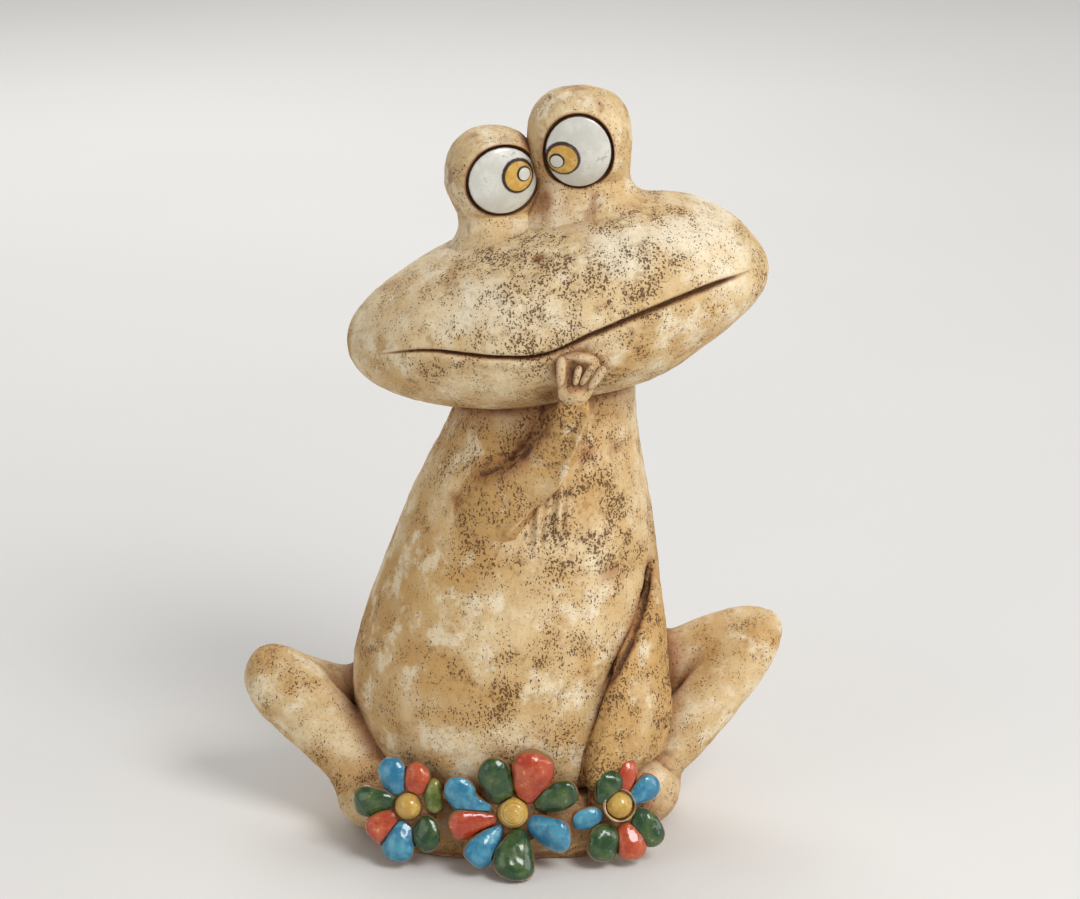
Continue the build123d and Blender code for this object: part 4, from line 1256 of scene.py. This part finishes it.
# Tone patches: the darker lower left end is partly painted shade, and the paler upper right partly painted light.
face_tones_light_and_shade = [  # across, height, radius, how much more or less ochre
    (-0.0420, 0.1500, 0.020, 0.50),
    (0.0000, 0.1460, 0.016, 0.40),
    (0.0520, 0.1640, 0.018, 0.55),
    (0.0340, 0.1890, 0.013, -0.80),
    (0.0570, 0.1880, 0.012, -0.90),
    (-0.0040, 0.1700, 0.013, -0.80),
    (-0.0300, 0.1640, 0.012, -0.40),
]
face_blots = [  # across, height, radius, amount
    (-0.0170, 0.1790, 0.0045, 0.30),
    (0.0110, 0.1470, 0.0050, 0.60),
    (-0.0385, 0.1632, 0.0060, 0.20),
    (0.0560, 0.1640, 0.0050, 0.20),
]
nostril = np.array([0.0080, -0.0333, 0.1871])
nostril_radius = 0.0022
brow_pit = np.array([0.0346, -0.0101, 0.1991])
brow_pit_radius = 0.0011
nostril_depth = 0.0006
brow_pit_depth = 0.0012
smooth_lips = 0.0015
stalk_wash = 0.0050
neck_wash = 0.0040
hand_shadow = 0.0025
head_pitting = patched(head_grid, 0.38, face_patches)
head_skin, head_sunk = worked(head_grid, head_pitting * (np.abs(beside_mouth) > smooth_lips))
slit = np.exp(-(beside_mouth / (mouth_half_gap * (0.4 + 0.6 * mouth_cut))) ** 2) * mouth_cut
lips = np.exp(-((np.abs(beside_mouth) - lip_width) / lip_width) ** 2) * mouth_cut
nostril_dent = spot(head_grid, nostril, nostril_radius)
brow_dent = spot(head_grid, brow_pit, brow_pit_radius)
head_skin = lift(head_skin, lip_rise * lips - mouth_depth * slit - nostril_depth * nostril_dent
                 - brow_pit_depth * brow_dent)
head_stain = deepest(
    0.35 * wash(outside_eyes(head_grid), stalk_wash),
    0.8 * wash(outside_torso(head_grid), neck_wash),
    # painted shadow round the right hand
    0.8 * wash(right_hand.outside(head_grid), hand_shadow),
    1.6 * spot(head_grid, eye_pocket, eye_pocket_radius),
    1.6 * slit,
    0.9 * nostril_dent,
    1.5 * brow_dent,
    blots(head_grid, face_blots),
)
add_piece("head_clay", head_skin, clay_finish, "fired_clay", ["head"], stain=head_stain,
          ochre=patched(head_grid, 0.15, face_tones_light_and_shade, -1.0), pitting=head_pitting, sunk=head_sunk)

# Flowers: along the front of the base lie three flowers of glazed clay pebbles, pressed on round a yellow bead.
# Their glazes run in blue, orange red, leaf green and lime; brown wash is left in the gaps between them.
flower_height_share = 0.93
flower_stand = 0.0036
mound_share = 0.50
mound_rise = 0.0030
mound_root = 0.0100
mound_swell = 0.0004
mound_wash = 0.0035
petal_stand = 0.0010
petal_swell = 0.0009
petal_swell_size = 0.0060
petal_ripple = 0.0002
petal_ripple_size = 0.0020
petal_line = 0.0005
petal_clearance = 0.0002
petal_root_share = 0.82
petal_thickness_share = 0.62
petal_bluntness = 2.3
petal_end_shares = (1.75, 0.80)
bead_stand = 0.0020
bead_root = 0.0090
bead_roundness = 0.98
bead_seat = 0.0022
bead_wash = 0.0014
bead_line = 0.0005
bead_swell = 0.0003
bead_swell_size = 0.0030
swirl_pitch = 0.00016
swirl_rise = 0.00006
ring_gap = 0.0008
ring_half_width = 0.0005
ring_crest = 0.0034
ring_dip = 0.0009
ring_root = 0.0040
ring_swell = 0.0003
ring_wash = 0.0012
flowers = [
    # side, bead diameter, reach, place across, turn, lean and droop, how full the petals are, then for each petal
    # inner end across and up, outer end across and up, width, narrow end, bend, colour
    ("right", 0.0082, 0.0166, -0.650, -14.0, 20.0, 20.0, 1.18, [
        (-0.270, 0.240, -0.470, 0.870, 0.51, 0.75, 0.00, "blue"),
        (0.120, 0.240, 0.090, 0.825, 0.46, 0.85, 0.00, "red"),
        (0.500, 0.680, 0.480, -0.070, 0.33, 0.85, 0.00, "lime"),
        (0.405, -0.150, 0.435, -0.775, 0.49, 0.95, 0.00, "green"),
        (-0.045, -0.310, -0.195, -1.000, 0.55, 0.65, 0.00, "blue"),
        (-0.225, -0.140, -0.670, -0.655, 0.51, 0.60, 0.00, "red"),
        (-0.270, 0.095, -1.060, 0.020, 0.52, 0.60, 0.00, "green"),
    ]),
    ("middle", 0.0094, 0.0206, 0.011, 0.0, 2.0, 30.0, 1.10, [
        (-0.160, 0.155, -0.345, 0.870, 0.47, 0.75, 0.00, "green"),
        (0.230, 0.140, 0.345, 0.975, 0.55, 0.50, 0.00, "red"),
        (0.345, 0.095, 0.930, 0.390, 0.44, 0.65, 0.00, "green"),
        (0.250, -0.085, 0.860, -0.400, 0.48, 0.70, -0.06, "blue"),
        (0.120, -0.265, -0.035, -0.980, 0.56, 0.55, 0.00, "green"),
        (-0.190, -0.205, -0.640, -0.750, 0.42, 0.40, 0.00, "blue"),
        (-0.245, -0.105, -0.955, -0.220, 0.41, 0.45, 0.00, "red"),
        (-0.330, 0.090, -0.800, 0.590, 0.41, 0.50, 0.28, "blue"),
    ]),
    ("left", 0.0080, 0.0166, 0.680, 14.0, 20.0, 20.0, 1.18, [
        (-0.390, 0.050, -0.060, 0.670, 0.48, 0.65, 0.00, "green"),
        (0.140, 0.230, 0.310, 0.835, 0.32, 0.80, 0.00, "red"),
        (0.330, 0.045, 0.720, 0.450, 0.43, 0.75, 0.00, "blue"),
        (0.365, -0.105, 0.710, -0.785, 0.48, 0.85, 0.00, "green"),
        (0.085, -0.375, 0.230, -1.010, 0.49, 0.70, 0.00, "red"),
        (-0.300, -0.350, -0.445, -0.970, 0.55, 0.85, 0.00, "green"),
        (-0.390, -0.145, -0.895, -0.180, 0.39, 0.90, 0.00, "blue"),
    ]),
]
petal_glazes = {  # base tone, clouds, specks, size of the clouds, how many more specks
    "blue": glazed("blue_glaze", paint(40, 116, 150), paint(78, 150, 174), paint(150, 184, 182), 0.0050, -0.03),
    "red": glazed("red_glaze", paint(170, 58, 28), paint(194, 90, 52), paint(222, 160, 116), 0.0046, 0.0),
    "green": glazed("green_glaze", paint(30, 66, 30), paint(70, 94, 46), paint(132, 134, 88), 0.0050, 0.0),
    "lime": glazed("lime_glaze", paint(82, 100, 34), paint(126, 132, 58), paint(170, 160, 98), 0.0040, 0.02),
}
bead_glaze = glazed("bead_glaze", paint(190, 148, 60), paint(208, 172, 88), paint(150, 106, 44), 0.004, 0.0)


def cap(centre, axis, right, radius, rise, root, rows, columns):
    """Round button: rings of a shallow sphere of the given rise out to the radius, then straight down its root.

    Gives the grid and each point's distance from the axis.
    """
    root_rows = 8
    sphere = (radius ** 2 + rise ** 2) / (2 * rise)
    polar = np.arctan2(radius, sphere - rise) * np.linspace(0.02, 1, rows)
    down = root * np.linspace(0.06, 1, root_rows)
    out = np.concatenate([sphere * np.sin(polar), np.full(root_rows, radius)])[:, None, None]
    high = np.concatenate([sphere * np.cos(polar) - sphere + rise, -down])[:, None, None]
    angle = np.linspace(0, 2 * np.pi, columns, endpoint=False)[None, :, None]
    spoke = right * np.cos(angle) + np.cross(axis, right) * np.sin(angle)
    return centre + spoke * out + axis * high, np.broadcast_to(out[..., 0], (len(out), columns))


for flower_name, bead_diameter, reach, place, turn, lean, droop, fullness, petals in flowers:
    flower = flower_name + "_flower_"
    turn, lean, droop = np.radians((turn, lean, droop))
    flower_face = np.array([np.sin(turn), -np.cos(turn), 0])
    flower_right = np.array([np.cos(turn), np.sin(turn), 0])
    front = base_half_depth * (1 - abs(place) ** base_squareness) ** (1 / base_squareness)
    flower_centre = np.array([base_half_width * place, -front, base_height * flower_height_share])
    flower_centre = flower_centre + flower_face * flower_stand
    flower_tilt = (lean + droop) / 2
    flower_axis = flower_face * np.cos(flower_tilt) + upright * np.sin(flower_tilt)
    bead_radius = bead_diameter / 2
    bead_middle = flower_centre + flower_axis * bead_stand
    bead = Lobe(bead_middle - flower_axis * bead_root, flower_axis, upright, bead_root + bead_radius, bead_radius,
                bead_radius, (1.0, 1.0, 6.0))
    eggs = []
    for *ends, width, narrow, bend, _ in petals:
        aside, up = np.array([np.multiply(ends[:2], petal_root_share), ends[2:]]).T[..., None] * reach
        slope = np.where(up > 0, lean, droop)
        rise = up * (upright * np.cos(slope) - flower_face * np.sin(slope))
        inner, outer = flower_centre + flower_face * petal_stand + flower_right * aside + rise
        egg_width = reach * width * fullness
        egg_shares = (narrow, petal_end_shares[0] - petal_end_shares[1] * narrow, petal_bluntness)
        eggs.append(Lobe(inner, outer - inner, flower_face, np.linalg.norm(outer - inner), egg_width / 2,
                         egg_width * petal_thickness_share / 2, egg_shares, bend))
    for number, (egg, (*_, colour)) in enumerate(zip(eggs, petals), 1):
        petal = flower + "%s_petal_%d" % (colour, number)
        egg_grid = egg.grid(80, 84)
        others = [other for other in eggs + [bead] if other is not egg]
        gap = np.minimum(nearest(egg_grid, others), outside_trunk(egg_grid))
        turned_away = facing(egg_grid) @ egg.outward
        swells = petal_swell * lumps(egg_grid, petal_swell_size, number)
        egg_grid = lift(egg_grid, swells + petal_ripple * lumps(egg_grid, petal_ripple_size, number))
        egg_grid[..., 2] = np.maximum(egg_grid[..., 2], petal_clearance)
        add_piece(petal + "_glaze", egg_grid, petal_glazes[colour], colour + "_glaze", [petal],
                  edge=wash(gap, petal_line), thin=np.clip((0.60 - turned_away) / 0.25, 0, 1))
    mound, from_axis = cap(flower_centre, flower_axis, flower_right, reach * mound_share, mound_rise, mound_root,
                           60, 120)
    mound_stain = deepest(wash(nearest(mound, eggs), mound_wash), wash(from_axis - bead_radius, bead_wash))
    mound_skin, mound_sunk = worked(mound, np.full(from_axis.shape, 0.4), mound_swell)
    add_piece(flower + "mound_clay", mound_skin, clay_finish, "fired_clay", [flower + "mound"],
              stain=1.3 * mound_stain, pitting=0.3, sunk=mound_sunk)
    bead_columns = 96
    bead_skin, from_axis = cap(bead_middle, flower_axis, flower_right, bead_radius, bead_radius * bead_roundness,
                               bead_root, 60, bead_columns)
    bead_gap = np.minimum(nearest(bead_skin, eggs), (bead_skin - flower_centre) @ flower_axis - bead_seat)
    around = np.linspace(0, 2 * np.pi, bead_columns, endpoint=False)
    swirl = np.sin(from_axis / swirl_pitch + around) * (flower_name == "middle")
    bead_skin = lift(bead_skin, bead_swell * lumps(bead_skin, bead_swell_size, 5) + swirl_rise * swirl)
    add_piece(flower + "bead_glaze", bead_skin, bead_glaze, "bead_glaze", [flower + "bead"],
              edge=deepest(wash(bead_gap, bead_line), 0.35 * np.clip(-swirl - 0.7, 0, 1)))
    if flower_name == "left":
        around = np.linspace(0, 2 * np.pi, 120, endpoint=False)[:, None, None]
        angle = np.linspace(0, 2 * np.pi, 32, endpoint=False)[None, :, None]
        spoke = flower_right * np.cos(around) + np.cross(flower_axis, flower_right) * np.sin(around)
        out = bead_radius + ring_gap + ring_half_width * np.cos(angle)
        crest = ring_crest - ring_dip * np.sin(around)
        high = crest - (crest + ring_root) * (1 - np.sin(angle)) / 2
        ring = flower_centre + spoke * out + flower_axis * high
        ring_skin, ring_sunk = worked(ring, np.full(ring.shape[:2], 0.2), ring_swell)
        ring_stain = np.clip((crest - high)[..., 0] / ring_wash - 0.5, 0, 1)
        add_piece(flower + "ring_clay", ring_skin, clay_finish, "fired_clay", [flower + "ring"], True,
                  stain=ring_stain, pitting=0.2, sunk=ring_sunk)

# Studio: a plain pale floor of matt board under an even sky, with one large soft lamp above the camera, weaker ones at
# the sides and behind, and one on the far floor. The camera stands level in front and looks down a little.
floor_half = 12.0
floor_tones = paint(226, 224, 220), paint(230, 228, 224)
floor_mesh = bpy.data.meshes.new("floor")
floor_corners = [(-floor_half, -floor_half, 0), (floor_half, -floor_half, 0), (floor_half, floor_half, 0),
                 (-floor_half, floor_half, 0)]
floor_mesh.from_pydata(floor_corners, [], [(0, 1, 2, 3)])
floor_finish, floor_shader, floor_place = new_finish("pale_floor")
floor_place.noise(0.4, 2).between(0.2, 0.8).mix(*floor_tones).feed(floor_shader, "Base Color")
floor_shader.inputs["Roughness"].default_value = 0.9
floor_mesh.materials.append(floor_finish)
floor = bpy.data.objects.new("floor", floor_mesh)
bpy.context.scene.collection.objects.link(floor)

aim = Vector((0.0086, 0.0, 0.11763))
lamps = [  # name, place, size, watts, aim
    ("key", (0.70, -0.90, 1.15), 0.6, 14.0, aim),
    ("fill", (-1.0, -0.75, 0.55), 0.8, 2.0, aim),
    ("side", (1.1, -0.35, 0.45), 0.6, 3.0, aim),
    ("back", (-0.3, 1.1, 0.9), 0.8, 5.0, aim),
    ("far", (0.0, 1.5, 1.6), 1.6, 9.0, Vector((0, 1.9, 0))),
]
for lamp_name, lamp_place, lamp_size, watts, lamp_aim in lamps:
    lamp = bpy.data.lights.new(lamp_name, "AREA")
    lamp.energy = watts
    lamp.size = lamp_size
    holder = bpy.data.objects.new(lamp_name, lamp)
    holder.location = lamp_place
    holder.rotation_euler = (lamp_aim - Vector(lamp_place)).to_track_quat("-Z", "Y").to_euler()
    bpy.context.scene.collection.objects.link(holder)
sky = bpy.data.worlds.new("sky")
sky.use_nodes = True
sky.node_tree.nodes["Background"].inputs["Color"].default_value = paint(240, 240, 242)
sky.node_tree.nodes["Background"].inputs["Strength"].default_value = 0.38
bpy.context.scene.world = sky

camera_distance = 0.95
camera_rise = np.radians(18)
camera = bpy.data.objects.new("camera", bpy.data.cameras.new("camera"))
camera.data.sensor_width = 36.0
camera.data.lens = 103.15
camera.location = aim + camera_distance * Vector((0, -np.cos(camera_rise), np.sin(camera_rise)))
camera.rotation_euler = (aim - camera.location).to_track_quat("-Z", "Y").to_euler()
bpy.context.scene.collection.objects.link(camera)
bpy.context.scene.camera = camera
bpy.context.scene.view_settings.view_transform = "Standard"
